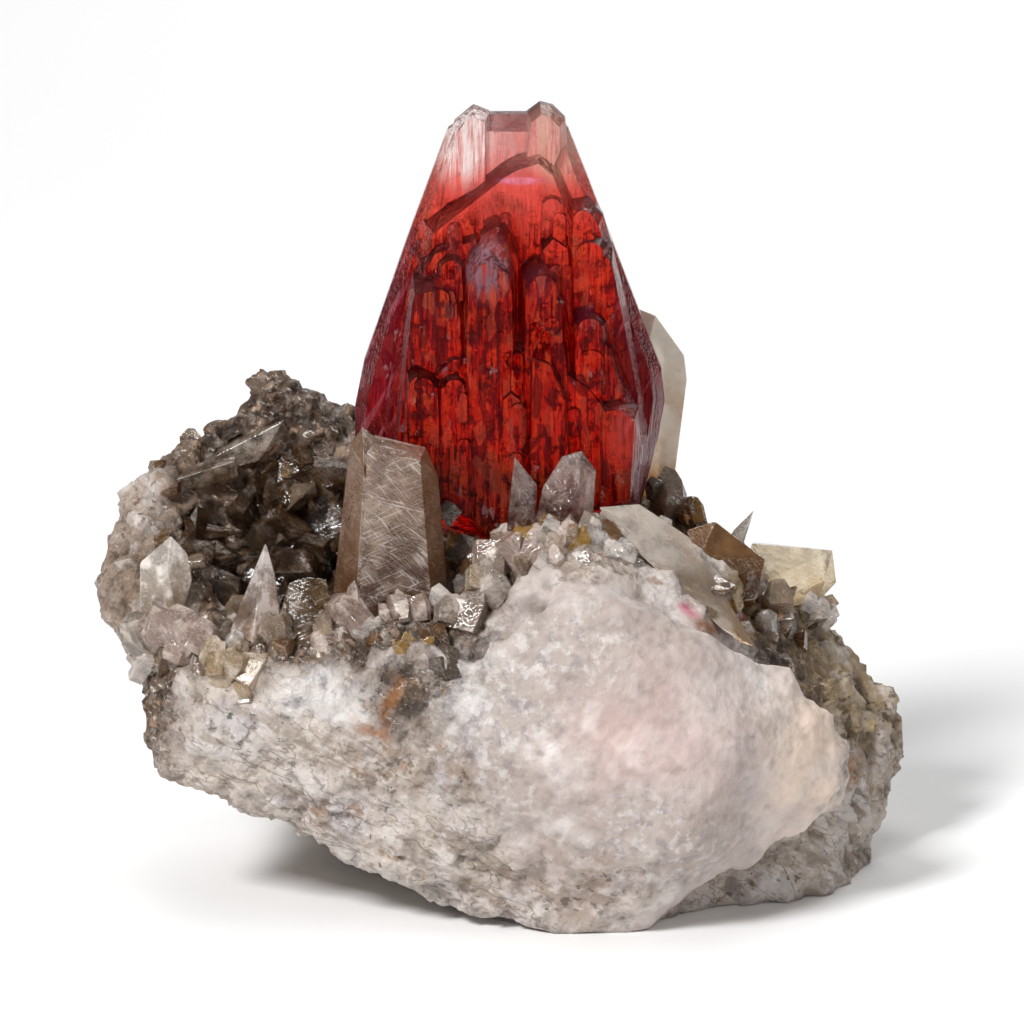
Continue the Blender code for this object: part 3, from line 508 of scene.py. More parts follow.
def redMaterial():
    # cobalt-bearing arsenate: glassy and clear, cherry red in the thick and rose in the thin,
    # ruled with fine growth lines
    look = redLook
    material, tree, shader, place = startMaterial("clearCherryRedCrystal")
    drawn = {}
    for name, (kind, size, stretch, turn, settings) in look["patterns"].items():
        spot = addNode(tree, "ShaderNodeMapping", {"vector_type": "TEXTURE", "Vector": place,
                                                   "Rotation": (0, math.radians(turn), 0),
                                                   "Scale": (1.0, 1.0, stretch)})
        texture = addNode(tree, kind, {"Vector": spot, "Scale": perMm / size, **settings})
        drawn[name] = texture.outputs["Color"] if "Voronoi" in kind else liveOutput(texture)
    across, _, rise = addNode(tree, "ShaderNodeSeparateXYZ", {0: place}).outputs
    facing = addNode(tree, "ShaderNodeNewGeometry").outputs["True Normal"]
    upward = addNode(tree, "ShaderNodeSeparateXYZ", {0: facing}).outputs["Z"]

    coats = []  # masks and their colours, from the lowest to the topmost
    for (start, _), (end, tint) in zip(look["tints"], look["tints"][1:]):
        coats.append((addNode(tree, "ShaderNodeMapRange", {0: rise, 1: start * mm, 2: end * mm}), tint))
    bands = []
    thinFrom, thickFrom, least = look["thin"]
    thick = addNode(tree, "ShaderNodeMapRange",
                    {0: rise, 1: thinFrom * mm, 2: thickFrom * mm, 3: least, 4: 1.0})
    for name, start, end, strength, tint in look["bands"]:
        mask = addNode(tree, "ShaderNodeMapRange", {0: drawn[name], 1: start, 2: end, 4: strength})
        bands.append(addNode(tree, "ShaderNodeMath", {"operation": "MULTIPLY", 0: mask, 1: thick}))
        coats.append((bands[-1], tint))
    darkSpots = bands[2]  # the pale chips, painted reflections of small facets, lie on these
    middle, narrowing, start, end, strength, tint = look["flank"]
    outer = addNode(tree, "ShaderNodeMath", {"operation": "SUBTRACT", 0: across, 1: middle * mm})
    outer = addNode(tree, "ShaderNodeMath", {"operation": "ABSOLUTE", 0: outer})
    outer = addNode(tree, "ShaderNodeMath", {"operation": "MULTIPLY_ADD", 0: rise, 1: narrowing, 2: outer})
    flank = addNode(tree, "ShaderNodeMapRange", {0: outer, 1: start * mm, 2: end * mm, 4: strength})
    coats.append((flank, tint))
    start, end, strength, tint = look["flankStripes"]
    stripes = addNode(tree, "ShaderNodeMapRange", {0: drawn["stripes"], 1: start, 2: end, 4: strength})
    stripes = addNode(tree, "ShaderNodeMath", {"operation": "MULTIPLY", 0: stripes, 1: flank})
    coats.append((stripes, tint))
    # painted shade on the faces that look up
    start, end, strength, tint = look["ledge"]
    coats.append((addNode(tree, "ShaderNodeMapRange", {0: upward, 1: start, 2: end, 4: strength}), tint))
    # painted reflections of small facets, also frosted
    start, end, strength, tint = look["paleChipReflections"]
    chips = addNode(tree, "ShaderNodeMapRange", {0: drawn["chips"], 1: start, 2: end, 4: strength})
    chips = addNode(tree, "ShaderNodeMath", {"operation": "MULTIPLY", 0: chips, 1: darkSpots})
    coats.append((chips, tint))

    frost = addNode(tree, "ShaderNodeMath", {"operation": "MAXIMUM", 0: stripes, 1: chips})
    broken = addNode(tree, "ShaderNodeMapRange", {0: drawn["lines"], 1: 0.38, 2: 0.56, 3: 0.2, 4: 1.0})
    # painted highlights, glows and shade, each also frosted
    for centre, radii, turn, strength, tint in look["glows"]:
        inside = addNode(tree, "ShaderNodeMapping", {"vector_type": "TEXTURE", "Vector": place,
                                                     "Location": [c * mm for c in centre],
                                                     "Rotation": (0, math.radians(turn), 0),
                                                     "Scale": [r * mm for r in radii]})
        away = addNode(tree, "ShaderNodeVectorMath", {"operation": "LENGTH", 0: inside}).outputs["Value"]
        mask = addNode(tree, "ShaderNodeMapRange", {0: away, 1: 1.25, 2: 0.6, 4: strength})
        mask = addNode(tree, "ShaderNodeMath", {"operation": "MULTIPLY", 0: mask, 1: broken})
        coats.append((mask, tint))
        frost = addNode(tree, "ShaderNodeMath", {"operation": "MAXIMUM", 0: frost, 1: mask})
    colour = overlaid(tree, linear(look["tints"][0][1]), coats)
    clear = addNode(tree, "ShaderNodeMapRange", {0: frost, 1: 0.0, 2: 1.0, 3: 0.85, 4: 0.25})
    gloss = addNode(tree, "ShaderNodeMapRange", {0: frost, 1: 0.0, 2: 1.0, 3: 0.04, 4: 0.35})
    height = addNode(tree, "ShaderNodeMath", {"operation": "ADD", 0: drawn["lines"], 1: drawn["spots"]})
    bump = addNode(tree, "ShaderNodeBump", {"Strength": 0.9, "Distance": 0.08 * mm, "Height": height})
    setUp(tree, shader, {"Base Color": colour, "Transmission Weight": clear, "Roughness": gloss,
                         "Normal": bump, "IOR": look["ior"], "Specular Tint": linear(look["gleam"])})
    addAbsorption(tree, look["absorb"])
    return material


redCrystal = buildRedCrystal()
redCrystal.data.shade_flat()
finishPiece(redCrystal, redMaterial(), "wendwilsonite", "wendwilsonite_crystal")
print("red crystal", len(redCrystal.data.polygons), "faces")


# Calcite crystals

calciteCommon = {
    "ior": 1.6,
    "cloud": 0.6,  # size of the cloudy patches in millimetres
    "edges": 0.6,  # how strongly the edges are painted with highlights
    # growth lines: turn in degrees and size in millimetres of each set, and how far they are drawn out; where
    # lighter, they are painted glints
    "lines": [(52, 0.05), (36, 0.07), (-24, 0.05), (14, 0.08)],
    "drawnOut": (24.0, 3.0, 1.0),
    "darkLine": "#5c4636",
    "lineGlintTint": "#fdf9f6",
    "edgeHighlightTint": "#fffaf4",
}
# for each: colours of top and foot, the share that is see-through, how much red, green and blue it takes up
# per metre, roughness, and the strength of growth lines and veils; "side" tints the faces that look sideways
calciteLook = {
    "calcite_front": {
        "top": "#c6ae9c", "foot": "#744418", "side": "#a06c3c", "clear": 0.76, "absorb": (25, 80, 180),
        "rough": 0.02, "ruled": 0.5, "veil": 0.3,
    },
    "calcite_behind": {
        "top": "#fff6e8", "foot": "#d89c48", "clear": 0.5, "absorb": (8, 20, 45), "rough": 0.06,
        "ruled": 0.1, "veil": 0.4, "cloud": 2.2,
    },
    "calcite_right": {
        "top": "#eadec8", "foot": "#dcbc86", "clear": 0.85, "absorb": (6, 28, 75), "rough": 0.04,
        "ruled": 0.2, "veil": 0.5,
    },
    "calcite_brown": {
        "top": "#b08454", "foot": "#7a4e24", "clear": 0.82, "absorb": (90, 180, 330), "rough": 0.03,
        "ruled": 0.1, "veil": 0.15,
    },
    "calcite_splinter": {
        "top": "#eee6dc", "foot": "#c4b49e", "clear": 0.85, "absorb": (20, 32, 50), "rough": 0.04,
        "ruled": 0.1, "veil": 0.4,
    },
    "calcite_foot": {
        "top": "#ecd2c8", "foot": "#8a5844", "clear": 0.93, "absorb": (50, 110, 140), "rough": 0.03,
        "ruled": 0.3, "veil": 0.15, "edges": 1.0,
    },
    "calcite_dogtooth": {
        "top": "#f8ece6", "foot": "#ccb09a", "clear": 0.86, "absorb": (18, 36, 52), "rough": 0.03,
        "ruled": 0.3, "veil": 0.45,
    },
    "calcite_left_block": {
        "top": "#fbf3ea", "foot": "#d8c2ac", "clear": 0.75, "absorb": (15, 30, 48), "rough": 0.05,
        "ruled": 0.2, "veil": 0.8,
    },
    "calcite_smoky_block": {
        "top": "#9c7a4c", "foot": "#6c4a28", "clear": 0.88, "absorb": (60, 115, 230), "rough": 0.1,
        "ruled": 0.4, "veil": 0.2,
    },
    "calcite_slabs": {
        "top": "#ead8c6", "foot": "#a88c70", "clear": 0.92, "absorb": (30, 60, 95), "rough": 0.03,
        "ruled": 0.3, "veil": 0.4,
    },
    "calcite_yellow": {
        "top": "#f4c870", "foot": "#c8862a", "clear": 0.78, "absorb": (20, 95, 320), "rough": 0.05,
        "ruled": 0.1, "veil": 0.5,
    },
    "calcite_plate": {
        "top": "#f2e6da", "foot": "#c4a888", "clear": 0.76, "absorb": (20, 36, 60), "rough": 0.02,
        "ruled": 0.2, "veil": 0.3, "edges": 1.0, "cloud": 1.6,
    },
}


def calciteMaterial(name, ownLook, low, high):
    # calcite grown in a cavity: glassy but clouded within, with fine growth lines that cross on its faces
    look = {**calciteCommon, **ownLook}
    material, tree, shader, place = startMaterial(name)
    cloud = addNode(tree, "ShaderNodeTexNoise",
                    {"Vector": place, "Scale": perMm / look["cloud"], "Detail": 3.0, "Roughness": 0.6})
    rules = height = None
    for turn, size in look["lines"]:
        drawn = addNode(tree, "ShaderNodeMapping",
                        {"vector_type": "TEXTURE", "Vector": place, "Rotation": (0, math.radians(turn), 0),
                         "Scale": look["drawnOut"]})
        line = addNode(tree, "ShaderNodeTexNoise",
                       {"Vector": drawn, "Scale": perMm / size, "Detail": 1.0, "Roughness": 0.6})
        if rules is None:
            rules = height = line
            continue
        height = addNode(tree, "ShaderNodeMath", {"operation": "ADD", 0: height, 1: line})
        rules = addNode(tree, "ShaderNodeMath", {"operation": "MAXIMUM", 0: rules, 1: line})
    rise = addNode(tree, "ShaderNodeSeparateXYZ", {0: place}).outputs["Z"]
    tall = high - low
    upward = addNode(tree, "ShaderNodeMapRange", {0: rise, 1: low + 0.15 * tall, 2: low + 0.75 * tall})
    waver = addNode(tree, "ShaderNodeMapRange", {0: cloud, 1: 0.35, 2: 0.65, 3: -0.3, 4: 0.3})
    upward = addNode(tree, "ShaderNodeMath", {"operation": "ADD", "use_clamp": True, 0: upward, 1: waver})
    colour = addNode(tree, "ShaderNodeMix",
                     {"data_type": "RGBA", 0: upward, 6: linear(look["foot"]), 7: linear(look["top"])})
    patchy = addNode(tree, "ShaderNodeMapRange",
                     {0: cloud, 1: 0.38, 2: 0.58, 3: 0.25 * look["ruled"], 4: look["ruled"]})
    # painted glints along the growth lines, in patches
    lineGlint = addNode(tree, "ShaderNodeMapRange", {0: rules, 1: 0.61, 2: 0.70, 4: patchy})
    dark = addNode(tree, "ShaderNodeMapRange", {0: rules, 1: 0.54, 2: 0.47, 4: look["ruled"]})
    # painted highlights on the bevelled edges, in patches; they also make the edges less clear
    edge = addNode(tree, "ShaderNodeAttribute", {"attribute_name": "edge"}).outputs["Fac"]
    edgeGlintPatches = addNode(tree, "ShaderNodeMapRange", {0: cloud, 1: 0.42, 2: 0.60, 4: look["edges"]})
    edge = addNode(tree, "ShaderNodeMath", {"operation": "MULTIPLY", 0: edge, 1: edgeGlintPatches})
    veil = addNode(tree, "ShaderNodeMapRange", {0: cloud, 1: 0.48, 2: 0.62, 4: look["veil"]})
    if "side" in look:
        facing = addNode(tree, "ShaderNodeNewGeometry").outputs["True Normal"]
        sideways = addNode(tree, "ShaderNodeSeparateXYZ", {0: facing}).outputs["X"]
        sideways = addNode(tree, "ShaderNodeMath", {"operation": "ABSOLUTE", 0: sideways})
        mask = addNode(tree, "ShaderNodeMapRange", {0: sideways, 1: 0.2, 2: 0.45, 4: 0.65})
        colour = overlaid(tree, colour, [(mask, look["side"])])
        plain = addNode(tree, "ShaderNodeMath", {"operation": "SUBTRACT", 0: 1.0, 1: mask})
        dark, veil, lineGlint = [addNode(tree, "ShaderNodeMath", {"operation": "MULTIPLY", 0: rule, 1: plain})
                              for rule in (dark, veil, lineGlint)]
    if "varied" in look:  # each small crystal has its own shade
        shade = addNode(tree, "ShaderNodeAttribute", {"attribute_name": "shade"}).outputs["Fac"]
        for start, end, tint in look["varied"]:
            mask = addNode(tree, "ShaderNodeMapRange", {0: shade, 1: start, 2: end})
            colour = overlaid(tree, colour, [(mask, tint)])
    colour = overlaid(tree, colour, [(dark, look["darkLine"]), (veil, look["top"]),
                                     (lineGlint, look["lineGlintTint"]), (edge, look["edgeHighlightTint"])])
    white = addNode(tree, "ShaderNodeMath", {"operation": "MAXIMUM", 0: lineGlint, 1: edge})
    white = addNode(tree, "ShaderNodeMath", {"operation": "MAXIMUM", 0: white, 1: veil})
    clear = addNode(tree, "ShaderNodeMapRange", {0: white, 3: look["clear"], 4: look["clear"] * 0.35})
    bump = addNode(tree, "ShaderNodeBump",
                   {"Strength": 0.3 + look["ruled"] * 0.4, "Distance": 0.04 * mm, "Height": height})
    gloss = addNode(tree, "ShaderNodeMapRange",
                    {0: cloud, 1: 0.35, 2: 0.7, 3: look["rough"] * 0.5, 4: look["rough"] * 2.5})
    setUp(tree, shader, {"Base Color": colour, "Transmission Weight": clear, "Roughness": gloss,
                         "Normal": bump, "IOR": look["ior"]})
    addAbsorption(tree, look["absorb"])
    return material


for node, look in calciteLook.items():
    words = node.split("_")
    name = words[0] + "".join(word.capitalize() for word in words[1:])
    crystal = cadCopy(name, node)
    crispEdges(crystal, 0.03)
    low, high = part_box(node)
    finishPiece(crystal, calciteMaterial(name + "Clear", look, low[2], high[2]), slotOf[node], node)
print("calcite crystals", len(calciteLook))


# Small crystals: the druse in the hollow, and what is scattered over the broken top.
# Density is for a square metre, the widths are in millimetres and the tilt in radians.

druseLook = {
    "vugDruse": {
        "on": "crust", "slot": "smoky_druse", "density": 1.3e6, "small": 0.6, "large": 1.9, "tilt": 0.8,
        "seed": 3, "zones": [((-6.5, 0, 12), (9, 9, 9), 1.0)], "top": "#7a5836", "foot": "#402a16",
        "clear": 0.8, "absorb": (110, 200, 340), "rough": 0.09, "veil": 0.3, "ruled": 0.2,
        "varied": [(0.4, 0.5, "#5a3e24"), (0.75, 0.85, "#c4a88c")],
    },
    "rimSmoky": {
        "on": "rock", "slot": "brown_calcite", "density": 0.9e6, "small": 0.5, "large": 1.3, "tilt": 0.9,
        "seed": 8,
        "zones": [
            ((-6.6, -2.0, 9.9), (6.0, 3.2, 2.2), 0.3), ((-8.6, 2.6, 12.6), (2.8, 2.6, 1.3), 0.4),
            ((8.0, 0.0, 9.2), (2.6, 3.0, 2.0), 0.4), ((5.4, 3.0, 11.4), (1.4, 1.4, 1.0), 0.4),
            ((-1.4, -2.4, 10.8), (2.6, 2.6, 1.4), 0.4),
        ],
        "top": "#b08c64", "foot": "#7c5632", "clear": 0.8, "absorb": (60, 110, 190), "rough": 0.04,
        "veil": 0.5, "ruled": 0.25,
        "varied": [(0.3, 0.4, "#dcc6b0"), (0.6, 0.7, "#8a6038"), (0.85, 0.9, "#f6eae0")],
    },
    "rimClear": {
        "on": "rock", "slot": "calcite", "density": 0.5e6, "small": 0.5, "large": 1.3, "tilt": 0.9,
        "seed": 21,
        "zones": [
            ((-7.0, -4.2, 9.0), (5.6, 2.0, 1.3), 0.4), ((2.0, -3.2, 12.0), (4.2, 1.8, 1.2), 0.4),
            ((-11.6, -1.2, 9.4), (1.0, 2.0, 1.4), 0.5), ((6.6, -3.2, 10.2), (1.4, 1.8, 1.4), 0.5),
        ],
        "top": "#dccec2", "foot": "#a8927c", "clear": 0.82, "absorb": (18, 35, 58), "rough": 0.04,
        "veil": 0.6, "ruled": 0.3,
        "varied": [(0.3, 0.4, "#c0a890"), (0.6, 0.7, "#fbf4ee"), (0.85, 0.9, "#a8844e")],
    },
}

# larger broken pieces: the middle of each, its width, depth and height in millimetres, and its shade
chunkLook = {
    "clearChunks": {
        "slot": "calcite", "seed": 5, "around": 4, "edges": 0.35, "top": "#d2c2b4", "foot": "#a8907a",
        "clear": 0.72, "absorb": (15, 30, 50), "rough": 0.03, "veil": 0.7, "ruled": 0.3,
        "varied": [(0.15, 0.2, "#d8bcae"), (0.35, 0.4, "#dcc09a"), (0.55, 0.6, "#efe6de")],
        "rows": [
            (-11.3, -3.1, 8.6, 1.3, 1.2, 1.7, 0.0), (-10.1, -4.1, 8.9, 1.7, 1.2, 1.3, 0.3),
            (-9.1, -5.0, 8.6, 1.0, 0.9, 1.0, 0.5), (-8.6, -5.5, 8.3, 1.1, 1.1, 1.3, 0.5),
            (-7.8, -5.5, 8.2, 1.1, 1.0, 1.3, 0.5), (-9.5, -5.0, 7.9, 0.8, 0.8, 0.9, 0.0),
            (-4.9, -4.5, 9.6, 1.4, 1.1, 1.6, 0.3), (-4.3, -4.9, 9.2, 0.9, 0.8, 0.9, 0.7),
            (-5.6, -5.2, 8.9, 0.9, 0.8, 0.8, 0.3), (-3.3, -4.3, 9.7, 1.5, 1.0, 1.1, 0.3),
            (-2.1, -4.1, 10.0, 0.9, 0.7, 0.6, 0.7), (-1.2, -4.5, 9.6, 1.5, 1.2, 1.3, 0.0),
            (-0.4, -3.9, 10.4, 1.4, 1.2, 1.3, 0.0), (-0.5, -3.1, 11.1, 1.3, 1.0, 1.2, 0.3),
            (0.3, -3.4, 11.4, 1.2, 1.0, 1.1, 0.3), (1.0, -3.5, 11.7, 1.2, 1.0, 1.1, 0.3),
            (1.9, -3.6, 11.9, 1.4, 1.0, 1.1, 0.3), (2.8, -3.5, 12.0, 1.3, 1.0, 1.0, 0.0),
            (1.3, -4.3, 11.3, 1.1, 0.9, 0.9, 0.3), (2.5, -4.3, 11.4, 1.2, 0.9, 0.9, 0.0),
            (3.6, -4.1, 11.6, 1.1, 0.8, 0.8, 0.7), (10.2, 2.6, 8.0, 0.8, 0.7, 0.8, 0.7),
        ],
    },
    "smokyChunks": {
        "slot": "brown_calcite", "seed": 9, "around": 3, "edges": 0.35, "top": "#a87c50", "foot": "#7a5028",
        "clear": 0.75, "absorb": (60, 120, 220), "rough": 0.07, "veil": 0.3, "ruled": 0.25,
        "varied": [(0.15, 0.2, "#d8a850"), (0.35, 0.4, "#c8b098"), (0.55, 0.6, "#7a6a5c")],
        "rows": [
            (-0.9, -2.0, 10.9, 1.8, 1.2, 1.1, 0.0), (0.0, -2.6, 11.4, 1.1, 0.9, 1.0, 0.5),
            (-3.1, -6.1, 8.9, 0.6, 0.6, 1.0, 0.3), (-2.4, -5.9, 9.1, 0.4, 0.4, 0.6, 0.3),
            (5.3, 2.5, 11.7, 1.2, 1.0, 1.5, 0.5), (6.0, 2.2, 11.3, 0.9, 0.8, 1.0, 0.0),
            (-1.75, -2.0, 12.4, 0.7, 0.5, 0.6, 0.7), (-7.2, -4.7, 9.2, 1.0, 0.9, 1.1, 0.5),
            (-6.9, -5.3, 8.7, 0.8, 0.8, 0.8, 0.0), (-2.2, -5.3, 9.1, 0.9, 0.8, 0.9, 0.0),
            (-2.0, -6.3, 8.2, 0.9, 0.7, 1.3, 0.7), (6.6, -3.0, 9.9, 1.2, 1.0, 1.0, 0.0),
            (8.7, 0.2, 9.0, 1.0, 0.9, 0.9, 0.5), (-3.9, -5.4, 8.8, 0.8, 0.8, 0.9, 0.0),
            (-10.6, -3.9, 8.0, 0.9, 0.8, 1.0, 0.5), (0.7, -3.2, 11.7, 1.0, 0.9, 1.0, 0.3),
            (1.6, -3.1, 12.1, 0.9, 0.9, 0.9, 0.0), (2.4, -3.9, 11.9, 0.9, 0.8, 0.9, 0.3),
            (3.3, -3.8, 11.9, 0.9, 0.8, 0.9, 0.0),
        ],
    },
}


# a short crystal with a slanting end, about one unit wide
def seedCrystal(name, sides, waist, top, slope, height):
    corners = []
    for side in range(sides):
        angle = math.tau * (side + 0.3 * (side % 2)) / sides
        x, y = math.cos(angle), math.sin(angle)
        corners += [(0.40 * x, 0.36 * y, -0.35), (waist * x, waist * y, 0.5 * height + 0.1 * (side % 2))]
        corners.append((top * x, top * y, height + slope * x))
    bm = hull(corners)
    bmesh.ops.scale(bm, vec=(perMm, perMm, perMm), verts=bm.verts)
    return meshObject(name, bm)


def druseTree(seeds):
    tree = bpy.data.node_groups.new("smallCrystals", "GeometryNodeTree")
    sockets = [("Geometry", "Geometry", None), ("Density", "Float", 1e6), ("Small", "Float", 0.2),
               ("Large", "Float", 0.7), ("Tilt", "Float", 0.7), ("Seed", "Int", 1),
               ("Finish", "Material", None)]
    sockets += [(name, "Object", None) for name in seeds]
    for name, kind, value in sockets:
        socket = tree.interface.new_socket(name=name, in_out="INPUT", socket_type="NodeSocket" + kind)
        if value is not None:
            socket.default_value = value
    tree.interface.new_socket(name="Geometry", in_out="OUTPUT", socket_type="NodeSocketGeometry")
    given = addNode(tree, "NodeGroupInput").outputs
    wanted = addNode(tree, "GeometryNodeInputNamedAttribute", {"data_type": "FLOAT", "Name": "druse"})
    amount = addNode(tree, "ShaderNodeMath", {"operation": "MULTIPLY", 0: given["Density"], 1: wanted})
    spread = addNode(tree, "GeometryNodeDistributePointsOnFaces",
                     {"Mesh": given["Geometry"], "Density": amount, "Seed": given["Seed"]})
    back = addNode(tree, "ShaderNodeMath", {"operation": "MULTIPLY", 0: given["Tilt"], 1: -1.0})
    least = addNode(tree, "ShaderNodeCombineXYZ", {0: back, 1: back, 2: -math.pi})
    most = addNode(tree, "ShaderNodeCombineXYZ", {0: given["Tilt"], 1: given["Tilt"], 2: math.pi})
    lean = addNode(tree, "FunctionNodeRandomValue",
                   {"data_type": "FLOAT_VECTOR", 0: least, 1: most, "Seed": given["Seed"]})
    turned = addNode(tree, "FunctionNodeRotateRotation",
                     {"rotation_space": "LOCAL", "Rotation": spread.outputs["Rotation"],
                      "Rotate By": lean})
    size = addNode(tree, "FunctionNodeRandomValue",
                   {"data_type": "FLOAT", 2: given["Small"], 3: given["Large"], "Seed": given["Seed"]})
    form = addNode(tree, "FunctionNodeRandomValue",  # from slender to stubby
                   {"data_type": "FLOAT_VECTOR", 0: (0.7, 0.6, 0.6), 1: (1.3, 1.0, 1.1), "Seed": 77})
    scale = addNode(tree, "ShaderNodeVectorMath", {"operation": "SCALE", 0: form, "Scale": size})
    pick = addNode(tree, "FunctionNodeRandomValue",
                   {"data_type": "INT", 4: 0, 5: len(seeds) - 1, "Seed": 5})
    both = addNode(tree, "GeometryNodeJoinGeometry")
    for index, name in enumerate(seeds):
        chosen = addNode(tree, "FunctionNodeCompare",
                         {"data_type": "INT", "operation": "EQUAL", 2: pick, 3: index})
        shape = addNode(tree, "GeometryNodeObjectInfo", {"Object": given[name]}).outputs["Geometry"]
        placed = addNode(tree, "GeometryNodeInstanceOnPoints",
                         {"Points": spread, "Selection": chosen, "Instance": shape,
                          "Rotation": turned, "Scale": scale})
        tree.links.new(placed.outputs["Instances"], both.inputs[0])
    own = addNode(tree, "FunctionNodeRandomValue", {"data_type": "FLOAT", 2: 0.0, 3: 1.0, "Seed": 31})
    shaded = addNode(tree, "GeometryNodeStoreNamedAttribute",
                     {"data_type": "FLOAT", "domain": "INSTANCE", "Geometry": both, "Name": "shade",
                      "Value": own})
    real = addNode(tree, "GeometryNodeRealizeInstances", {"Geometry": shaded})
    painted = addNode(tree, "GeometryNodeSetMaterial", {"Geometry": real, "Material": given["Finish"]})
    addNode(tree, "NodeGroupOutput", {0: painted})
    return tree


crust = cadCopy("vugCrust", "vug_crust")
crust.data.shade_flat()
crustLow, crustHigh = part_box("vug_crust")
crustLook = {**druseLook["vugDruse"], "varied": []}
crustFinish = calciteMaterial("smokyCrust", crustLook, crustLow[2], crustHigh[2])
finishPiece(crust, crustFinish, "smoky_druse", "vug_crust")

seeds = {"Prism": seedCrystal("prism", 6, 0.42, 0.26, 0.12, 0.42),
         "Tooth": seedCrystal("tooth", 6, 0.30, 0.04, 0.0, 0.75),
         "Rhomb": seedCrystal("rhomb", 4, 0.46, 0.36, 0.20, 0.36),
         "Wedge": seedCrystal("wedge", 5, 0.42, 0.22, 0.22, 0.40)}
smallTree = druseTree(seeds)
hosts = {"crust": crust, "rock": rock}
for name, look in druseLook.items():
    bm = bmesh.new()
    bm.from_mesh(hosts[look["on"]].data)
    druse = meshObject(name, bm)
    places = [v.co / mm for v in druse.data.vertices]
    shift = Vector((look["seed"], 0, 0))
    patchSize, bareBelow = 1.1, -0.12  # of the noise that keeps small patches bare
    setAttribute(druse.data, "druse",
                 [share(p, look["zones"]) * (noise.noise(p / patchSize + shift) > bareBelow) for p in places])
    finish = calciteMaterial(name + "Calcite", look, 8 * mm, 14 * mm)
    grow = druse.modifiers.new("grow", "NODES")
    grow.node_group = smallTree
    values = {"Density": look["density"], "Small": look["small"] * mm, "Large": look["large"] * mm,
              "Tilt": look["tilt"], "Seed": look["seed"], "Finish": finish, **seeds}
    for item in smallTree.interface.items_tree:
        if item.in_out == "INPUT" and item.name in values:
            grow[item.identifier] = values[item.name]
    baked(druse)
    druse.data.shade_flat()
    finishPiece(druse, finish, look["slot"])
    print(name, len(druse.data.polygons), "faces")
for seed in seeds.values():
    bpy.data.objects.remove(seed, do_unlink=True)


def brokenPiece(rng, middle, wide, deep, tall):  # a many-sided splinter with a slanting top
    turn = Euler((rng.random(3) - 0.5) * (1.4, 1.4, 6.0)).to_matrix()
    sides = int(rng.integers(4, 7))
    slope, waist = rng.random(2) * (0.5, 0.35)
    corners = []
    for side in range(sides):
        angle = math.tau * (side + 0.5 * rng.random()) / sides
        reach = 0.48 + 0.18 * rng.random()
        x, y = reach * wide * math.cos(angle), reach * deep * math.sin(angle)
        corners += [(0.9 * x, 0.9 * y, -0.5 * tall), (x, y, waist * tall - 0.2 * slope * x)]
        corners.append((0.62 * x, 0.62 * y, 0.5 * tall + slope * x))
    return hull([turn @ Vector(corner) + middle for corner in corners])


def buildChunks(name, look):
    rng = np.random.default_rng(look["seed"])
    parts = []
    for x, y, z, wide, deep, tall, shade in look["rows"]:
        parts.append((Vector((x, y, z)), wide, deep, tall, shade))
        spread = 0.9 * np.array((wide, deep, tall))
        for _ in range(look["around"]):  # smaller pieces at its foot
            size = 0.35 + 0.35 * rng.random()
            spot = Vector((x, y, z - 0.1 * tall)) + Vector((rng.random(3) - 0.5) * spread)
            own = shade if rng.random() < 0.5 else rng.random()
            parts.append((spot, size * wide, size * deep, 1.3 * size * tall, own))
    whole = bmesh.new()
    shades = []
    for middle, wide, deep, tall, shade in parts:
        part = brokenPiece(rng, middle, wide, deep, tall)
        mesh = bpy.data.meshes.new("part")
        part.to_mesh(mesh)
        part.free()
        whole.from_mesh(mesh)
        shades += [shade] * len(mesh.vertices)
        bpy.data.meshes.remove(mesh)
    thing = meshObject(name, whole)
    setAttribute(thing.data, "shade", shades)
    crispEdges(thing, 0.02)
    return thing


for name, look in chunkLook.items():
    thing = buildChunks(name, look)
    finishPiece(thing, calciteMaterial(name + "Calcite", look, 7 * mm, 12 * mm), look["slot"])
    print(name, len(thing.data.polygons), "faces")


# Floor, light and camera

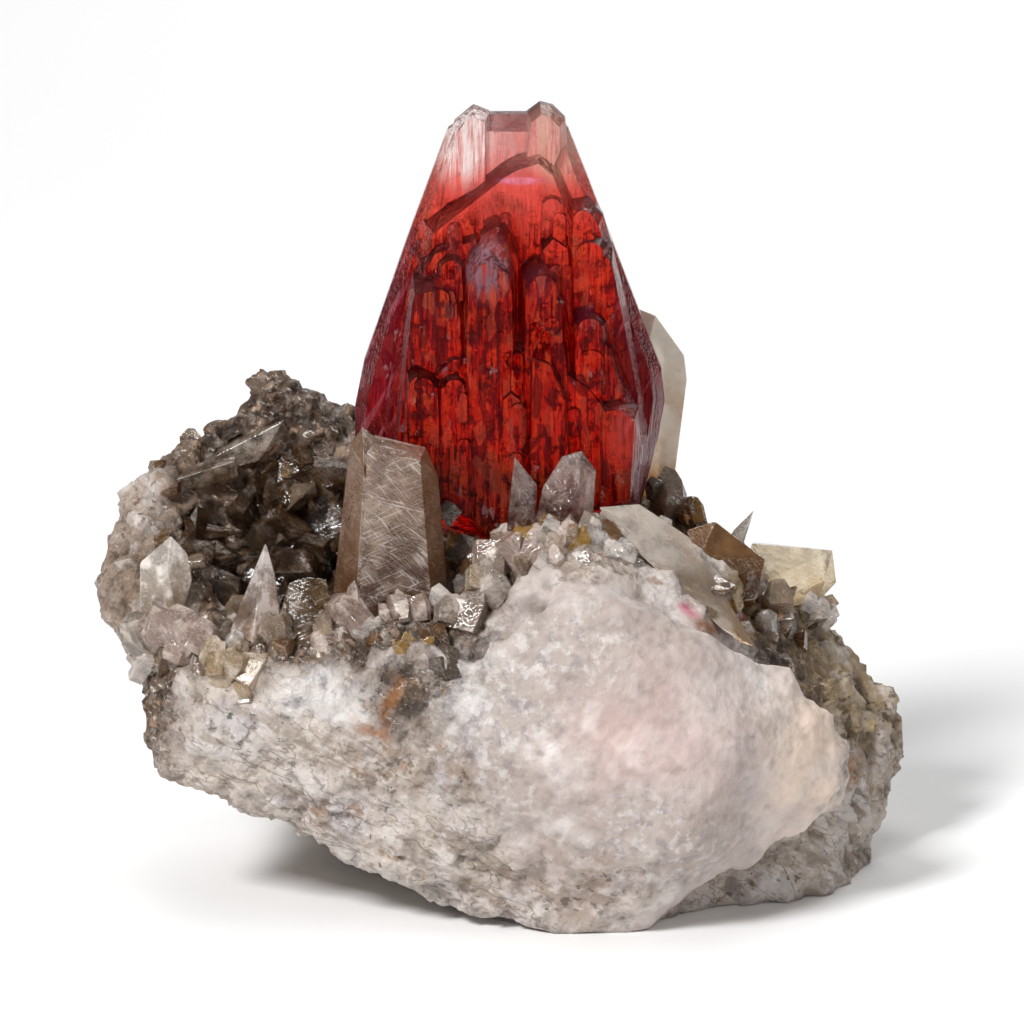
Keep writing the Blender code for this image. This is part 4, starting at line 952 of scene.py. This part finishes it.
stageLook = {
    "paper": "#f6f6f6",
    "paperRough": 0.9,
    "floorHalf": 500.0,
    "lens": 220.0,
    "sensor": 36.0,
    "clip": (1, 5000),
    "lift": 14.0,  # degrees above the horizon
    "distance": 198.4,
    "aim": (0.22, -1.0, 12.13),
    # place, size and power of each soft light, in millimetres and watts
    "lights": {
        "keyLight": ((-150, -180, 220), (70, 70), 1.0),
        "fillLight": ((220, -150, 120), (60, 140), 0.12),
        "backLight": ((60, 260, 160), (200, 100), 0.35),
        "topLight": ((0, 0, 330), (160, 160), 0.24),
    },
    "lightAim": (0, 0, 10),
    "world": 0.15,
}


def buildStage():
    look = stageLook
    bm = bmesh.new()
    bmesh.ops.create_grid(bm, x_segments=1, y_segments=1, size=look["floorHalf"] * mm)
    floor = meshObject("floor", bm)
    material, tree, shader, _ = startMaterial("matWhitePaper")
    setUp(tree, shader, {"Base Color": linear(look["paper"]), "Roughness": look["paperRough"]})
    floor.data.materials.append(material)
    for name, (place, size, power) in look["lights"].items():
        data = bpy.data.lights.new(name, "AREA")
        data.energy = power
        data.shape = "RECTANGLE"
        data.size, data.size_y = size[0] * mm, size[1] * mm
        lamp = bpy.data.objects.new(name, data)
        lamp.location = Vector(place) * mm
        toAim = Vector(look["lightAim"]) - Vector(place)
        lamp.rotation_euler = toAim.to_track_quat("-Z", "Y").to_euler()
        scene.collection.objects.link(lamp)
    world = bpy.data.worlds.new("studio")
    scene.world = world
    world.use_nodes = True
    sky = world.node_tree.nodes["Background"]
    setUp(world.node_tree, sky, {"Color": linear("#ffffff"), "Strength": look["world"]})
    data = bpy.data.cameras.new("camera")
    data.lens = look["lens"]
    data.sensor_width = look["sensor"]
    data.clip_start, data.clip_end = [reach * mm for reach in look["clip"]]
    camera = bpy.data.objects.new("camera", data)
    lift = math.radians(look["lift"])
    outward = Vector((0, -math.cos(lift), math.sin(lift)))
    camera.location = (Vector(look["aim"]) + outward * look["distance"]) * mm
    camera.rotation_euler = (-outward).to_track_quat("-Z", "Y").to_euler()
    scene.collection.objects.link(camera)
    scene.camera = camera
    scene.view_settings.view_transform = "Standard"


buildStage()
print("stage ready")
